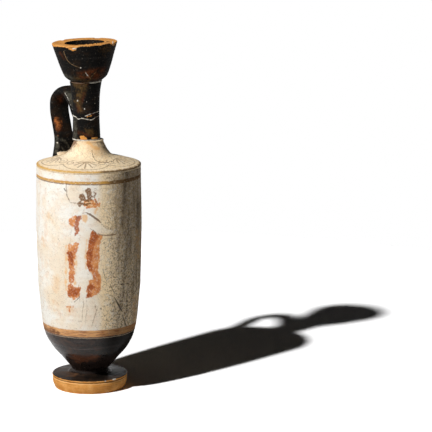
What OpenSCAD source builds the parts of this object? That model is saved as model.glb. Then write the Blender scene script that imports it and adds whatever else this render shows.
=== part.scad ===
// Lekythos: a white-ground oil vessel with a calyx mouth, a narrow neck and one strap handle.
// The vessel stands on z = 0 with the axis of its body on +Z, and the handle is behind the neck.
// The neck was broken off and set back, so it leans a little and thin mends close the breaks.

/* [Foot] */
// Diameter of the foot at its upper edge
foot_d = 65.2; // [60:0.2:72]
// Height of the foot at its upper edge
foot_h = 12; // [10:0.2:16]
// Diameter of the ring that the vessel rests on
foot_rest_d = 60.6; // [56:0.2:62]
// Breadth of the resting ring
foot_rest_w = 6; // [4:0.5:9]
// Depth of the hollow under the foot at its middle
foot_hollow_h = 6.5; // [3:0.5:8]
// Fullness of the foot's side over the straight line between its edges
foot_side_bulge = 0.9; // [0.3:0.1:1.5]
// Depth of the turned groove under the foot's upper edge
foot_groove_depth = 0.6; // [0.3:0.1:1]
// Height of the band above the groove
foot_band_h = 1.7; // [1.2:0.1:2.2]
// Rise of the foot's upper face from its edge to the stem
foot_rise = 1.1; // [0.5:0.1:2]
// Breadth of the raised ring round the stem
stem_ring_w = 2.4; // [1.6:0.2:4]
// Height of the raised ring round the stem
stem_ring_h = 0.9; // [0.5:0.1:1.5]
// Depth of the seat that the stem stands in
stem_seat_depth = 1.6; // [1:0.1:2]

/* [Body] */
// Largest diameter of the body
body_d = 90.4; // [84:0.2:98]
// Height of the body from its seat in the foot to the shoulder seam
body_h = 181.5; // [160:0.5:200]
// Thickness of the body's wall
wall_t = 4.5; // [3.5:0.1:5.5]
// Thickness of the clay over the stem, under the cavity
floor_t = 20; // [16:0.5:26]
// How far the wall draws in at the shoulder seam
top_draw = 0.6; // [0:0.1:1.5]
// Height over the stem's seat where the wall starts to draw in
taper_z = 79; // [72:1:90]
// How far the wall has drawn in at that height
taper_draw = 1.1; // [0.5:0.1:2]
// Height over the stem's seat of the lower edge of the white ground
ground_z = 42; // [38:0.5:46]
// How far the wall has drawn in at the lower edge of the white ground
ground_draw = 5.2; // [4:0.1:6.5]
// Height over the stem's seat where the wall turns under
turn_z = 26; // [23:0.5:30]
// How far the wall has drawn in where it turns under
turn_draw = 11.2; // [9:0.1:13]
// Height over the stem's seat where the cup runs into the stem
cup_z = 14.2; // [12.5:0.1:17]
// Diameter where the cup runs into the stem
cup_d = 49; // [44:0.5:54]
// Rise of the cavity's floor from its middle to half way out
floor_bowl = 1.5; // [0.5:0.1:3]
// Diameter of the stem
stem_d = 32; // [28:0.2:35]
// Height of the stem's upright part over its seat
stem_h = 4.4; // [3:0.2:6]

/* [Shoulder] */
// Height of the upright edge of the shoulder
edge_h = 2.4; // [1.8:0.1:3.5]
// How far the upright edge stands out over the seam
edge_out = 0.1; // [0:0.05:0.3]
// Rise of the rounding on that edge
edge_round = 0.2; // [0.1:0.05:0.4]
// Rise of the shoulder from its edge to the foot of the flare
shoulder_rise = 6.7; // [5:0.1:9]
// Diameter at the foot of the flare that rises to the neck
flare_d = 42.5; // [38:0.5:48]
// Height of the flare from the shoulder to the collar's top
flare_h = 14.1; // [11:0.1:17]
// How far the flare is hollowed in between its foot and the collar
flare_hollow = 1; // [0.5:0.1:2]
// Height over the shoulder of the flare's most hollow part
flare_hollow_h = 5; // [3.5:0.1:6]
// Diameter of the collar that the neck stands on
collar_d = 25.6; // [24:0.2:28]
// Height of the collar's upright part
collar_h = 2.2; // [1:0.1:3]
// Thickness of the shoulder's clay
shoulder_t = 4.6; // [3.5:0.1:5.5]
// Length of the bore through the collar
collar_bore_h = 6.1; // [4:0.1:8]
// How far the dome under the shoulder is hollowed in below that bore
dome_hollow = 1; // [0:0.1:2]
// Depth of that place under the foot of the flare
dome_depth = 2.1; // [1:0.1:3.5]
// Rise of the dome's edge over the even thickness
dome_edge = 1.6; // [0.5:0.1:2]
// Depth of the lip that locates the shoulder inside the body's wall
lip_h = 3; // [2:0.2:5]
// Breadth of that lip
lip_w = 3; // [2:0.2:4]
// Clearance between the lip and the wall
lip_gap = 0.2; // [0.1:0.05:0.4]

/* [Neck] */
// Length of the neck's lower sherd
neck_lower_h = 18; // [14:0.2:22]
// Length of the neck's upper sherd
neck_upper_h = 29.4; // [26:0.2:34]
// Diameter of the neck at its lower end
neck_base_d = 24; // [23:0.2:25]
// Diameter of the neck at its waist
neck_waist_d = 22.8; // [21:0.2:24]
// Height of the waist over the neck's lower end
neck_waist_h = 18.3; // [16:0.1:20]
// Height over the lower end where the neck has drawn in from its base
neck_draw_h = 7.7; // [5:0.1:10]
// How much the neck's radius is over the waist's at that height
neck_draw = 0.25; // [0.1:0.05:0.6]
// How much the radius is over the waist's where the neck starts to open
neck_open = 0.35; // [0.1:0.05:0.7]
// Length over which the neck's top flares out to the mouth
neck_flare_h = 8; // [6:0.2:11]
// How much the radius is over the waist's at the lower end of that flare
neck_flare = 1; // [0.5:0.1:1.5]
// Diameter of the neck at its top
neck_top_d = 27.2; // [25:0.2:29]
// Diameter of the bore through the neck
bore_d = 14; // [11:0.2:15]
// Lean of the neck to the left, in degrees
neck_lean = 0.55; // [0:0.05:1.5]
// Distance that the neck stands left of the body's axis
neck_shift = 1.8; // [0:0.1:2]
// Thickness of the mend between the collar and the neck
collar_mend_t = 1; // [0.6:0.1:1.6]
// Thickness of the mend between the two sherds of the neck
neck_mend_t = 0.8; // [0.4:0.1:1.4]

/* [Mouth] */
// Height of the mouth from the neck to its rim
mouth_h = 32.7; // [28:0.2:38]
// Diameter of the rim
rim_d = 55.8; // [52:0.2:60]
// Diameter of the mouth where its root has opened out
mouth_root_d = 36.6; // [33:0.2:39]
// Height of that root over the neck
mouth_root_h = 4.2; // [3:0.1:7]
// Diameter of the mouth at the foot of its tall wall
mouth_cup_d = 43.6; // [41:0.2:46]
// Height of the foot of that wall over the neck
mouth_cup_h = 12.8; // [11:0.2:16]
// Fullness of the tall wall over the straight line up to the rim
mouth_bulge = 0.1; // [0:0.1:0.8]
// Diameter of the opening in the flat rim
opening_d = 32.6; // [28:0.2:36]
// Height over the neck where the funnel inside is half closed
funnel_h = 14; // [12:0.2:18]
// Diameter of the funnel at that height
funnel_d = 22.6; // [20:0.2:26]
// Fullness of the funnel over the straight line up to the opening
funnel_bulge = 1; // [0:0.1:2]
// How much the funnel is still wider than the bore at the mouth's root
funnel_end = 0.6; // [0.2:0.1:1.5]
// Distance that the mouth is set right of the neck's top
mouth_shift = 0.5; // [0:0.1:1]
// Lean of the mouth to the left, in degrees
mouth_lean = 2.2; // [0:0.1:2.6]
// Thickness of the mend between the neck and the mouth
mouth_mend_t = 1.2; // [0.9:0.1:1.8]

/* [Handle] */
// Bearing of the handle, in degrees round from +X
handle_bearing = 127; // [90:1:180]
// Height over the shoulder's edge of the top of the arch
arch_h = 63; // [56:0.5:68]
// Distance of the arch's top from the axis
arch_reach = 31.5; // [28:0.5:34]
// Share of that distance where the strap has risen from its upper root
arch_rise_share = 0.6; // [0.5:0.02:0.7]
// Height of the strap's middle over the upper root's middle at that place
arch_rise = 2.4; // [1:0.1:4]
// Fullness of the bend from the arch down to the strap's outermost part
arch_bend = 5.4; // [2:0.1:6]
// Distance of the strap's outermost part from the axis
strap_reach = 45.4; // [42:0.2:48]
// Height over the shoulder's edge of the strap's outermost part
strap_reach_h = 40.5; // [36:0.5:45]
// Distance of the strap from the axis where it has drawn in above its lower root
strap_in = 38.4; // [35:0.2:40]
// Height over the shoulder's edge of that place
strap_in_h = 14; // [11:0.5:18]
// Distance of the lower root from the axis
root_reach = 38.4; // [35:0.2:40]
// Height over the shoulder's edge of the middle of the upper root
root_h = 50; // [46:0.5:54]
// How far the strap drops toward its upper root inside the neck
root_drop = 3; // [1:0.5:5]
// How far the strap's lower end reaches below the shoulder's edge
root_depth = 1; // [0.5:0.1:2]
// Breadth of the strap
strap_w = 17; // [13:0.2:19]
// Thickness of the strap
strap_t = 7.8; // [6:0.1:9]
// Breadth that the upper root adds to the strap
upper_root_w = 5; // [2:0.5:7]
// Thickness that the upper root adds to the strap
upper_root_t = 15; // [4:0.5:17]
// Breadth that the lower root adds to the strap
lower_root_w = 4.6; // [1:0.2:6]
// Thickness that the lower root adds to the strap
lower_root_t = 4.4; // [1:0.2:6]

/* [Hidden] */
$fn = 96;
steps = 5;
cut = 0.5;
strap_sides = 20;
strap_steps = 6;
strap_square = 0.76;
root_span = 0.24;

seat_z = foot_h + foot_rise + stem_ring_h - stem_seat_depth;
seam_z = seat_z + body_h;
edge_z = seam_z + edge_h;
flare_z = edge_z + shoulder_rise;
collar_z = flare_z + flare_h;
neck_z = collar_z + collar_mend_t;
neck_h = neck_lower_h + neck_mend_t + neck_upper_h;
body_r = body_d / 2;
top_r = body_r - top_draw;
bore_r = bore_d / 2;
stem_r = stem_d / 2;

clay = [0.66, 0.38, 0.20];
glaze = [0.09, 0.085, 0.08];
ground = [0.86, 0.81, 0.70];
plaster = [0.88, 0.86, 0.80];

// A smooth curve through a list of [radius, height] stations.
function station(s, i) =
    i < 0 ? 2 * s[0] - s[1] : i >= len(s) ? 2 * s[len(s) - 1] - s[len(s) - 2] : s[i];
function between(s, i, t) =
    let (a = station(s, i - 1), b = s[i], c = s[i + 1], d = station(s, i + 2))
    0.5 * (2 * b + (c - a) * t + (2 * a - 5 * b + 4 * c - d) * t * t + (3 * b - a - 3 * c + d) * t * t * t);
function curve(s, n = steps) =
    concat([for (i = [0 : len(s) - 2], k = [0 : n - 1]) between(s, i, k / n)], [s[len(s) - 1]]);
function reversed(s) = [for (i = [len(s) - 1 : -1 : 0]) s[i]];

// A round arc between two points, full by a given rise over its chord.
function bow(p, q, rise, n = steps) =
    [for (k = [0 : n]) let (t = k / n, d = q - p, side = [d[1], -d[0]] / norm(d))
        p + d * t + side * rise * 4 * t * (1 - t)];

// The foot: a turned disc, hollow below, with a groove under its edge and a seat for the stem.
module foot() {
    rest_r = foot_rest_d / 2;
    edge_r = foot_d / 2;
    groove_z = foot_h - foot_band_h;
    side_r = edge_r - foot_groove_depth;
    ring_z = foot_h + foot_rise;
    ring_r = stem_r + stem_ring_w;
    profile = concat(
        bow([0, foot_hollow_h], [rest_r - foot_rest_w, 0], -foot_hollow_h / 8),
        bow([rest_r, 0], [side_r, groove_z], foot_side_bulge),
        bow([side_r, groove_z + foot_groove_depth], [edge_r - cut, foot_h], cut),
        [[ring_r + cut, ring_z], [ring_r, ring_z + stem_ring_h / 2], [ring_r - cut, ring_z + stem_ring_h],
         [stem_r, ring_z + stem_ring_h], [stem_r, seat_z], [0, seat_z]]);
    color(clay) rotate_extrude() polygon(profile);
}

// The outer line of the body, from the stem's seat up to the seam under the shoulder.
function body_line() = concat(
    [[stem_r, seat_z]],
    curve([[stem_r, seat_z + stem_h], [cup_d / 2, seat_z + cup_z],
           [body_r - turn_draw, seat_z + turn_z], [body_r - ground_draw, seat_z + ground_z],
           [body_r - taper_draw, seat_z + taper_z]]),
    curve([[body_r - taper_draw, seat_z + taper_z], [body_r, (seat_z + taper_z + seam_z) / 2],
           [top_r, seam_z]]));

// The cavity follows the wall, and its floor is a bowl over the thick clay of the stem.
function cavity_line() = concat(
    curve([[0, seat_z + floor_t], [(body_r - turn_draw - wall_t) / 2, seat_z + floor_t + floor_bowl],
           [body_r - turn_draw - wall_t, seat_z + turn_z + wall_t],
           [body_r - ground_draw - wall_t, seat_z + ground_z + wall_t],
           [body_r - taper_draw - wall_t, seat_z + taper_z]]),
    [[body_r - wall_t, (seat_z + taper_z + seam_z) / 2], [top_r - wall_t, seam_z - 2 * lip_h],
     [top_r - wall_t, seam_z]]);

module body() {
    color(ground) rotate_extrude() polygon(concat(
        [[0, seat_z]], body_line(), reversed(cavity_line())));
}

// The line on top of the shoulder, from its seam over the edge and up the flare to the collar.
function shoulder_line() = concat(
    [[top_r, seam_z], [top_r + edge_out, edge_z - cut], [top_r - cut, edge_z]],
    curve([[top_r - 2 * cut, edge_z + edge_round], [(top_r + flare_d / 2) / 2, (edge_z + flare_z) / 2],
           [flare_d / 2, flare_z], [(flare_d + collar_d) / 4 - flare_hollow, flare_z + flare_hollow_h],
           [collar_d / 2, collar_z - collar_h]]),
    [[collar_d / 2, collar_z]]);

// The shoulder: a flared cover that stands on the wall and locates in it with a short lip.
module shoulder() {
    lip_r = top_r - wall_t - lip_gap;
    under = curve([[bore_r, collar_z - collar_bore_h],
                   [flare_d / 4 + bore_r / 2 - dome_hollow, flare_z - dome_depth],
                   [flare_d / 2, flare_z - shoulder_t],
                   [lip_r - lip_w, edge_z - shoulder_t + dome_edge]]);
    color(ground) rotate_extrude() polygon(concat(
        shoulder_line(), [[bore_r, collar_z]], under,
        [[lip_r - lip_w, seam_z - lip_h], [lip_r, seam_z - lip_h], [lip_r, seam_z]]));
}

// The neck's own frame: it stands left of the axis and leans left.
module on_neck() {
    translate([-neck_shift, 0, neck_z]) rotate([0, -neck_lean, 0]) children();
}

// The outer line of the whole neck in its own frame, both sherds and the mend between them.
function neck_line() = curve([
    [neck_base_d / 2, 0], [neck_waist_d / 2 + neck_draw, neck_draw_h], [neck_waist_d / 2, neck_waist_h],
    [neck_waist_d / 2 + neck_open, neck_h - 2 * neck_flare_h],
    [neck_waist_d / 2 + neck_flare, neck_h - neck_flare_h], [neck_top_d / 2, neck_h]]);

module neck_between(z0, z1) {
    on_neck() intersection() {
        rotate_extrude() polygon(concat(
            [[bore_r, 0]], neck_line(), [[bore_r, neck_h]]));
        translate([0, 0, z0]) cylinder(r = neck_top_d, h = z1 - z0);
    }
}

module neck_lower() {
    color(glaze) neck_between(0, neck_lower_h);
}

module neck_mend() {
    color(plaster) neck_between(neck_lower_h, neck_lower_h + neck_mend_t);
}

module neck_upper() {
    color(glaze) neck_between(neck_lower_h + neck_mend_t, neck_h);
}

// The mend on the collar is a wedge, because the neck that it carries leans.
module collar_mend() {
    color(plaster) difference() {
        on_neck() translate([0, 0, -2 * collar_mend_t]) cylinder(d = neck_base_d, h = 2 * collar_mend_t);
        translate([0, 0, collar_z - 4 * collar_mend_t]) cylinder(d = 2 * collar_d, h = 4 * collar_mend_t);
        on_neck() translate([0, 0, -3 * collar_mend_t]) cylinder(d = bore_d, h = 4 * collar_mend_t);
    }
}

// The mouth's own frame: it stands on its mend at the neck's top and leans further left.
module on_mouth() {
    on_neck() translate([mouth_shift, 0, neck_h + mouth_mend_t]) rotate([0, neck_lean - mouth_lean, 0]) children();
}

module mouth_mend() {
    color(plaster) difference() {
        on_mouth() translate([0, 0, -2 * mouth_mend_t]) cylinder(d = neck_top_d, h = 2 * mouth_mend_t);
        on_neck() translate([0, 0, neck_h - 4 * mouth_mend_t])
            cylinder(d = 2 * neck_top_d, h = 4 * mouth_mend_t);
        on_mouth() translate([0, 0, -3 * mouth_mend_t]) cylinder(d = bore_d, h = 4 * mouth_mend_t);
    }
}

// The calyx mouth: a tall flared wall with a flat rim, and a funnel inside that leads to the bore.
module mouth() {
    outer = curve([[neck_top_d / 2, 0], [mouth_root_d / 2, mouth_root_h], [mouth_cup_d / 2, mouth_cup_h],
                   [(mouth_cup_d + rim_d) / 4 + mouth_bulge, (mouth_cup_h + mouth_h) / 2],
                   [rim_d / 2, mouth_h - cut]]);
    funnel = curve([[opening_d / 2, mouth_h - 2 * cut],
                    [(opening_d + funnel_d) / 4 + funnel_bulge, (mouth_h + funnel_h) / 2],
                    [funnel_d / 2, funnel_h], [bore_r + funnel_end, mouth_root_h], [bore_r, 0]]);
    color(glaze) on_mouth() rotate_extrude() polygon(concat(
        outer, [[rim_d / 2 - cut, mouth_h], [opening_d / 2 + 2 * cut, mouth_h - cut / 2]], funnel));
}

// The strap's middle line as [reach, height] stations, from inside the neck to inside the shoulder.
function strap_line() = curve([
    [bore_r, edge_z + root_h - root_drop],
    [arch_reach * arch_rise_share, edge_z + root_h + arch_rise],
    [arch_reach, edge_z + arch_h - strap_t / 2],
    [(arch_reach + strap_reach) / 2 + arch_bend, edge_z + (arch_h + strap_reach_h) / 2],
    [strap_reach, edge_z + strap_reach_h],
    [(strap_reach + strap_in) / 2, edge_z + (strap_reach_h + strap_in_h) / 2],
    [strap_in, edge_z + strap_in_h], [root_reach, edge_z - root_depth]], strap_steps);

// How far a place on the strap is into a root: 1 at that end of the strap, 0 past the root.
function root_share(t) = t > root_span ? 0 : pow(1 - t / root_span, 1.5);
function rounded(v) = sign(v) * pow(abs(v), strap_square);

// One ring of the strap: a rounded rectangle square to the middle line.
function strap_ring(line, i) = let (
        last = len(line) - 1, d = line[min(i + 1, last)] - line[max(i - 1, 0)],
        out = [-d[1], d[0]] / norm(d), up = root_share(i / last), low = root_share(1 - i / last),
        half_t = (strap_t + up * upper_root_t + low * lower_root_t) / 2,
        half_w = (strap_w + up * upper_root_w + low * lower_root_w) / 2)
    [for (k = [0 : strap_sides - 1]) let (a = 360 * k / strap_sides, n = half_t * rounded(cos(a)))
        [line[i][0] + n * out[0], half_w * rounded(sin(a)), line[i][1] + n * out[1]]];

// A tube's faces over rings of equal count, with a fan at each end.
function tube_faces(rings, sides) = concat(
    [for (i = [0 : rings - 2], k = [0 : sides - 1]) let (a = i * sides + k, b = i * sides + (k + 1) % sides)
        each [[a, b, a + sides], [b, b + sides, a + sides]]],
    [for (k = [1 : sides - 2]) [0, k + 1, k]],
    [for (k = [1 : sides - 2]) let (e = (rings - 1) * sides) [e, e + k, e + k + 1]]);

// The handle: a pulled strap whose flared roots are cut to the neck and the shoulder.
module handle() {
    line = strap_line();
    color(glaze) difference() {
        rotate([0, 0, handle_bearing]) polyhedron(
            [for (i = [0 : len(line) - 1]) each strap_ring(line, i)], tube_faces(len(line), strap_sides));
        on_neck() rotate_extrude() polygon(concat([[0, 0]], neck_line(), [[0, neck_h]]));
        rotate_extrude() polygon(concat([[0, seam_z]], shoulder_line(), [[0, collar_z]]));
    }
}

foot();
body();
shoulder();
collar_mend();
neck_lower();
neck_mend();
neck_upper();
mouth_mend();
mouth();
handle();
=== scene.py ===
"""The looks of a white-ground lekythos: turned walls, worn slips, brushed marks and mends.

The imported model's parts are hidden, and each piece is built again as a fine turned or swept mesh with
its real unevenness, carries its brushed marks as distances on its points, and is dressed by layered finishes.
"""
import logging
import math
from dataclasses import dataclass, field, replace
from enum import Enum

import bpy
import numpy as np
from mathutils import Euler, Matrix


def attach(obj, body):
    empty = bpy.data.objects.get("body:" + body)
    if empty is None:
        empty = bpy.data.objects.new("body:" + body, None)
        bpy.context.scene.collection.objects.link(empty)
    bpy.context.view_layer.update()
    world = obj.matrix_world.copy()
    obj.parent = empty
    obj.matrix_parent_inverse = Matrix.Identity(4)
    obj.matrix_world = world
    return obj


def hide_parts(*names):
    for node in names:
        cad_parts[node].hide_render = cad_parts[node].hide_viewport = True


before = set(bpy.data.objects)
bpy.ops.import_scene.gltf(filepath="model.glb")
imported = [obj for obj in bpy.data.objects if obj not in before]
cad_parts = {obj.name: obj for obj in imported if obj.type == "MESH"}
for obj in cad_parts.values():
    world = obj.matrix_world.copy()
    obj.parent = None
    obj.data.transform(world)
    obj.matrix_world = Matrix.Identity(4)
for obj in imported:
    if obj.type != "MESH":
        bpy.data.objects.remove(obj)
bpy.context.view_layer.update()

log = logging.getLogger("lekythos")

Array = np.ndarray
Point = tuple[float, float]
Colour = tuple[float, float, float]

MM = 0.001  # one millimetre in metres
BODY = "root"
FAR = 9.0  # a distance that counts as far from every mark, in pixels or mm
FINER_SHARE = 0.55  # weight of each finer layer in a cloudy pattern
STRIDES = np.array((374761393, 668265263, 1103515245))  # large odd numbers that scatter the lattice's values
SEED_STRIDE, SCATTER, WORD, HALF_WORD = 974634777, 1274126177, 0xFFFFFFFF, 0xFFFF


class Slot(Enum):
    """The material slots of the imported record."""

    GLAZE = "black_glaze"
    GROUND = "white_ground"
    CLAY = "reserved_clay"
    MEND = "mend_plaster"


# Numbers that shape surfaces


def smooth_line(stations: list[Point], spans: int = 12) -> Array:
    """Draws a smooth curve through stations.

    Args:
        stations: places as (radius, height) in mm.
        spans: steps between two stations.

    Returns:
        The curve's points, one row each.
    """
    s = np.array(stations, float)
    s = np.vstack([2 * s[0] - s[1], s, 2 * s[-1] - s[-2]])
    t = np.linspace(0, 1, spans, endpoint=False)[:, None]
    runs = []
    for a, b, c, d in zip(s, s[1:], s[2:], s[3:]):
        runs.append(0.5 * (2 * b + (c - a) * t + (2 * a - 5 * b + 4 * c - d) * t**2
                           + (3 * b - a - 3 * c + d) * t**3))
    return np.vstack(runs + [s[-2:-1]])


def even_steps(line: Array, step: float) -> Array:
    """Spaces a line's points evenly.

    Args:
        line: points, one row each.
        step: wanted distance between points, in mm.

    Returns:
        Points along the same line, about a step apart, with both ends kept.
    """
    gaps = np.linalg.norm(np.diff(line, axis=0), axis=1)
    along = np.concatenate([[0], np.cumsum(gaps)])
    count = max(2, int(round(along[-1] / step)) + 1)
    at = np.linspace(0, along[-1], count)
    return np.stack([np.interp(at, along, line[:, i]) for i in range(line.shape[1])], 1)


def lattice(places: Array, seed: int) -> Array:
    """Smooth random values, from -1 to 1, with a feature about one unit across.

    Args:
        places: points in lattice units, the last axis holding three numbers.
        seed: which pattern.

    Returns:
        One value for each point.
    """
    cell = np.floor(places).astype(np.int64)
    f = places - cell
    f = f * f * (3 - 2 * f)
    total = np.zeros(places.shape[:-1])
    for corner in range(8):
        step = np.array([corner & 1, corner >> 1 & 1, corner >> 2 & 1])
        n = ((cell + step) * STRIDES).sum(-1) + seed * SEED_STRIDE
        n = ((n ^ (n >> 13)) * SCATTER) & WORD
        value = ((n ^ (n >> 16)) & HALF_WORD) / (HALF_WORD / 2) - 1
        total += np.prod(np.where(step, f, 1 - f), axis=-1) * value
    return total


def rough(places: Array, size: float, seed: int, octaves: int = 3) -> Array:
    """Layered unevenness.

    Args:
        places: points in mm.
        size: size of the largest feature, in mm.
        seed: which pattern.
        octaves: how many finer layers are added.

    Returns:
        Values from about -1 to 1.
    """
    return sum(lattice(places / size * 2**k, seed + k) / 2**k for k in range(octaves)) / 1.6


def soft_step(x: Array, low: float, high: float) -> Array:
    """Rises smoothly from 0 at low to 1 at high."""
    t = np.clip((x - low) / (high - low), 0, 1)
    return t * t * (3 - 2 * t)


# Marks brushed or broken on the surface, placed by pixels of the 432 by 432 photograph


@dataclass(frozen=True)
class Stroke:
    """A mark with a middle line and a half breadth, in pixels."""

    path: tuple[Point, ...]
    half: float | tuple[float, ...] = 0.4

    def distance(self, px: Array) -> Array:
        """Distance from the mark's edge, below zero inside it.

        Args:
            px: pixel places, one row each.

        Returns:
            One distance in pixels for each place.
        """
        p = np.array(self.path if len(self.path) > 1 else self.path * 2, float)
        h = np.broadcast_to(np.array(self.half, float), (len(p),))
        best = np.full(len(px), FAR)
        for a, b, ha, hb in zip(p, p[1:], h, h[1:]):
            d = b - a
            t = np.clip((px - a) @ d / max(d @ d, 1e-9), 0, 1)
            best = np.minimum(best, np.linalg.norm(px - a - t[:, None] * d, axis=1) - ha - t * (hb - ha))
        return best


@dataclass(frozen=True)
class Patch:
    """A filled mark with an outline, in pixels."""

    outline: tuple[Point, ...]

    def distance(self, px: Array) -> Array:
        """Distance from the outline, below zero inside it.

        Args:
            px: pixel places, one row each.

        Returns:
            One distance in pixels for each place.
        """
        p = np.array(self.outline, float)
        q = np.roll(p, -1, axis=0)
        edge = Stroke(tuple(map(tuple, np.vstack([p, p[:1]]))), 0.0).distance(px)
        inside = np.zeros(len(px), bool)
        for (ax, ay), (bx, by) in zip(p, q):
            if ay == by:
                continue
            crosses = (px[:, 1] < ay) != (px[:, 1] < by)
            inside ^= crosses & (px[:, 0] < (bx - ax) * (px[:, 1] - ay) / (by - ay) + ax)
        return np.where(inside, -edge, edge)


Kind = tuple[Stroke | Patch, ...]
Marks = dict[str, Kind]


@dataclass(frozen=True)
class Sight:
    """The photograph's viewpoint. Its focal length is in pixels of the 432 pixel frame."""

    focal: float = 2584.0
    side: float = 432.0
    sensor: float = 36.0
    pitch: float = 11.371
    roll: float = 0.264
    place: tuple[float, float, float] = (108.9, -2172.4, 587.3)

    def turn(self) -> Matrix:
        """The camera's rotation in the row frame."""
        level = Euler((math.radians(90 - self.pitch), 0, 0)).to_matrix()
        return level @ Euler((0, 0, math.radians(self.roll))).to_matrix()

    def pixels(self, places: Array) -> Array:
        """Projects points.

        Args:
            places: points in mm, one row each.

        Returns:
            Their pixel places, with y down.
        """
        local = (places - np.array(self.place)) @ np.array(self.turn())
        return self.side / 2 + self.focal * local[:, :2] * (1, -1) / -local[:, 2:]

    def facing(self, places: Array, normals: Array) -> Array:
        """Tells which points face the viewpoint."""
        return np.sum((np.array(self.place) - places) * normals, axis=1) > 0

    def camera(self) -> None:
        """Builds the camera and makes it the scene's own."""
        data = bpy.data.cameras.new("camera")
        data.sensor_width = self.sensor
        data.lens = self.focal * self.sensor / self.side
        data.clip_end = 60
        item = bpy.data.objects.new("camera", data)
        item.matrix_world = Matrix.Translation([c * MM for c in self.place]) @ self.turn().to_4x4()
        bpy.context.scene.collection.objects.link(item)
        bpy.context.scene.camera = item


# Meshes


@dataclass
class Stand:
    """A leaning frame for pieces set back askew: a place in mm and a lean to the left in degrees."""

    place: tuple[float, float, float] = (0.0, 0.0, 0.0)
    lean: float = 0.0

    def turn(self) -> Array:
        """The frame's rotation."""
        a = math.radians(self.lean)
        return np.array([[math.cos(a), 0, -math.sin(a)], [0, 1, 0], [math.sin(a), 0, math.cos(a)]])

    def out(self, local: Array) -> Array:
        """Takes points in mm from this frame to the row frame."""
        return local @ self.turn().T + np.array(self.place)

    def into(self, places: Array) -> Array:
        """Takes points in mm from the row frame into this one."""
        return (places - np.array(self.place)) @ self.turn()

    def above(self, right: float, height: float, lean: float) -> "Stand":
        """The frame that stands in this one at a height and to the right, leaning by its own angle."""
        top = self.out(np.array([[right, 0.0, height]]))[0]
        return Stand(tuple(float(c) for c in top), lean)


def bearings(count: int, front_share: float = 0.0) -> Array:
    """Directions round the axis in radians, closer together at the front.

    Args:
        count: how many.
        front_share: how much closer they lie at the front, from 0 for evenly.

    Returns:
        The directions, starting at the back.
    """
    t = np.arange(count) / count * 2 * math.pi
    return math.pi / 2 + t + front_share * np.sin(t)


def mesh_object(name: str, points: Array, faces: list[tuple[int, ...]]) -> bpy.types.Object:
    """Makes a smooth object.

    Args:
        name: the piece's name.
        points: places in mm in the row frame, one row each.
        faces: corner indexes.

    Returns:
        The object, linked to the scene.
    """
    mesh = bpy.data.meshes.new(name)
    mesh.from_pydata((points * MM).tolist(), [], faces)
    mesh.polygons.foreach_set("use_smooth", [True] * len(mesh.polygons))
    mesh.update()
    item = bpy.data.objects.new(name, mesh)
    bpy.context.scene.collection.objects.link(item)
    return item


def points_of(item: bpy.types.Object) -> tuple[Array, Array]:
    """Reads an object's points.

    Args:
        item: the object.

    Returns:
        Their places in mm and their normals, one row each.
    """
    count = len(item.data.vertices)
    places, normals = np.zeros(count * 3, np.float32), np.zeros(count * 3, np.float32)
    item.data.vertices.foreach_get("co", places)
    item.data.vertex_normals.foreach_get("vector", normals)
    return places.reshape(-1, 3).astype(float) / MM, normals.reshape(-1, 3).astype(float)


def store(item: bpy.types.Object, name: str, values: Array) -> None:
    """Writes one value for each point of the object, for its finish to read."""
    layer = item.data.attributes.new(name, "FLOAT", "POINT")
    layer.data.foreach_set("value", values.astype(np.float32))


def stencil(item: bpy.types.Object, sight: Sight, marks: Marks) -> None:
    """Puts marks on the side of an object that faces the viewpoint.

    Args:
        item: the object.
        sight: the viewpoint that the marks' pixels belong to.
        marks: for each attribute, the marks whose distance it holds.
    """
    places, normals = points_of(item)
    px = sight.pixels(places)
    seen = sight.facing(places, normals)
    for name, kind in marks.items():
        reach = np.full(len(px), FAR)
        for mark in kind:
            reach[seen] = np.minimum(reach[seen], mark.distance(px[seen]))
        store(item, name, reach)


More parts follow.
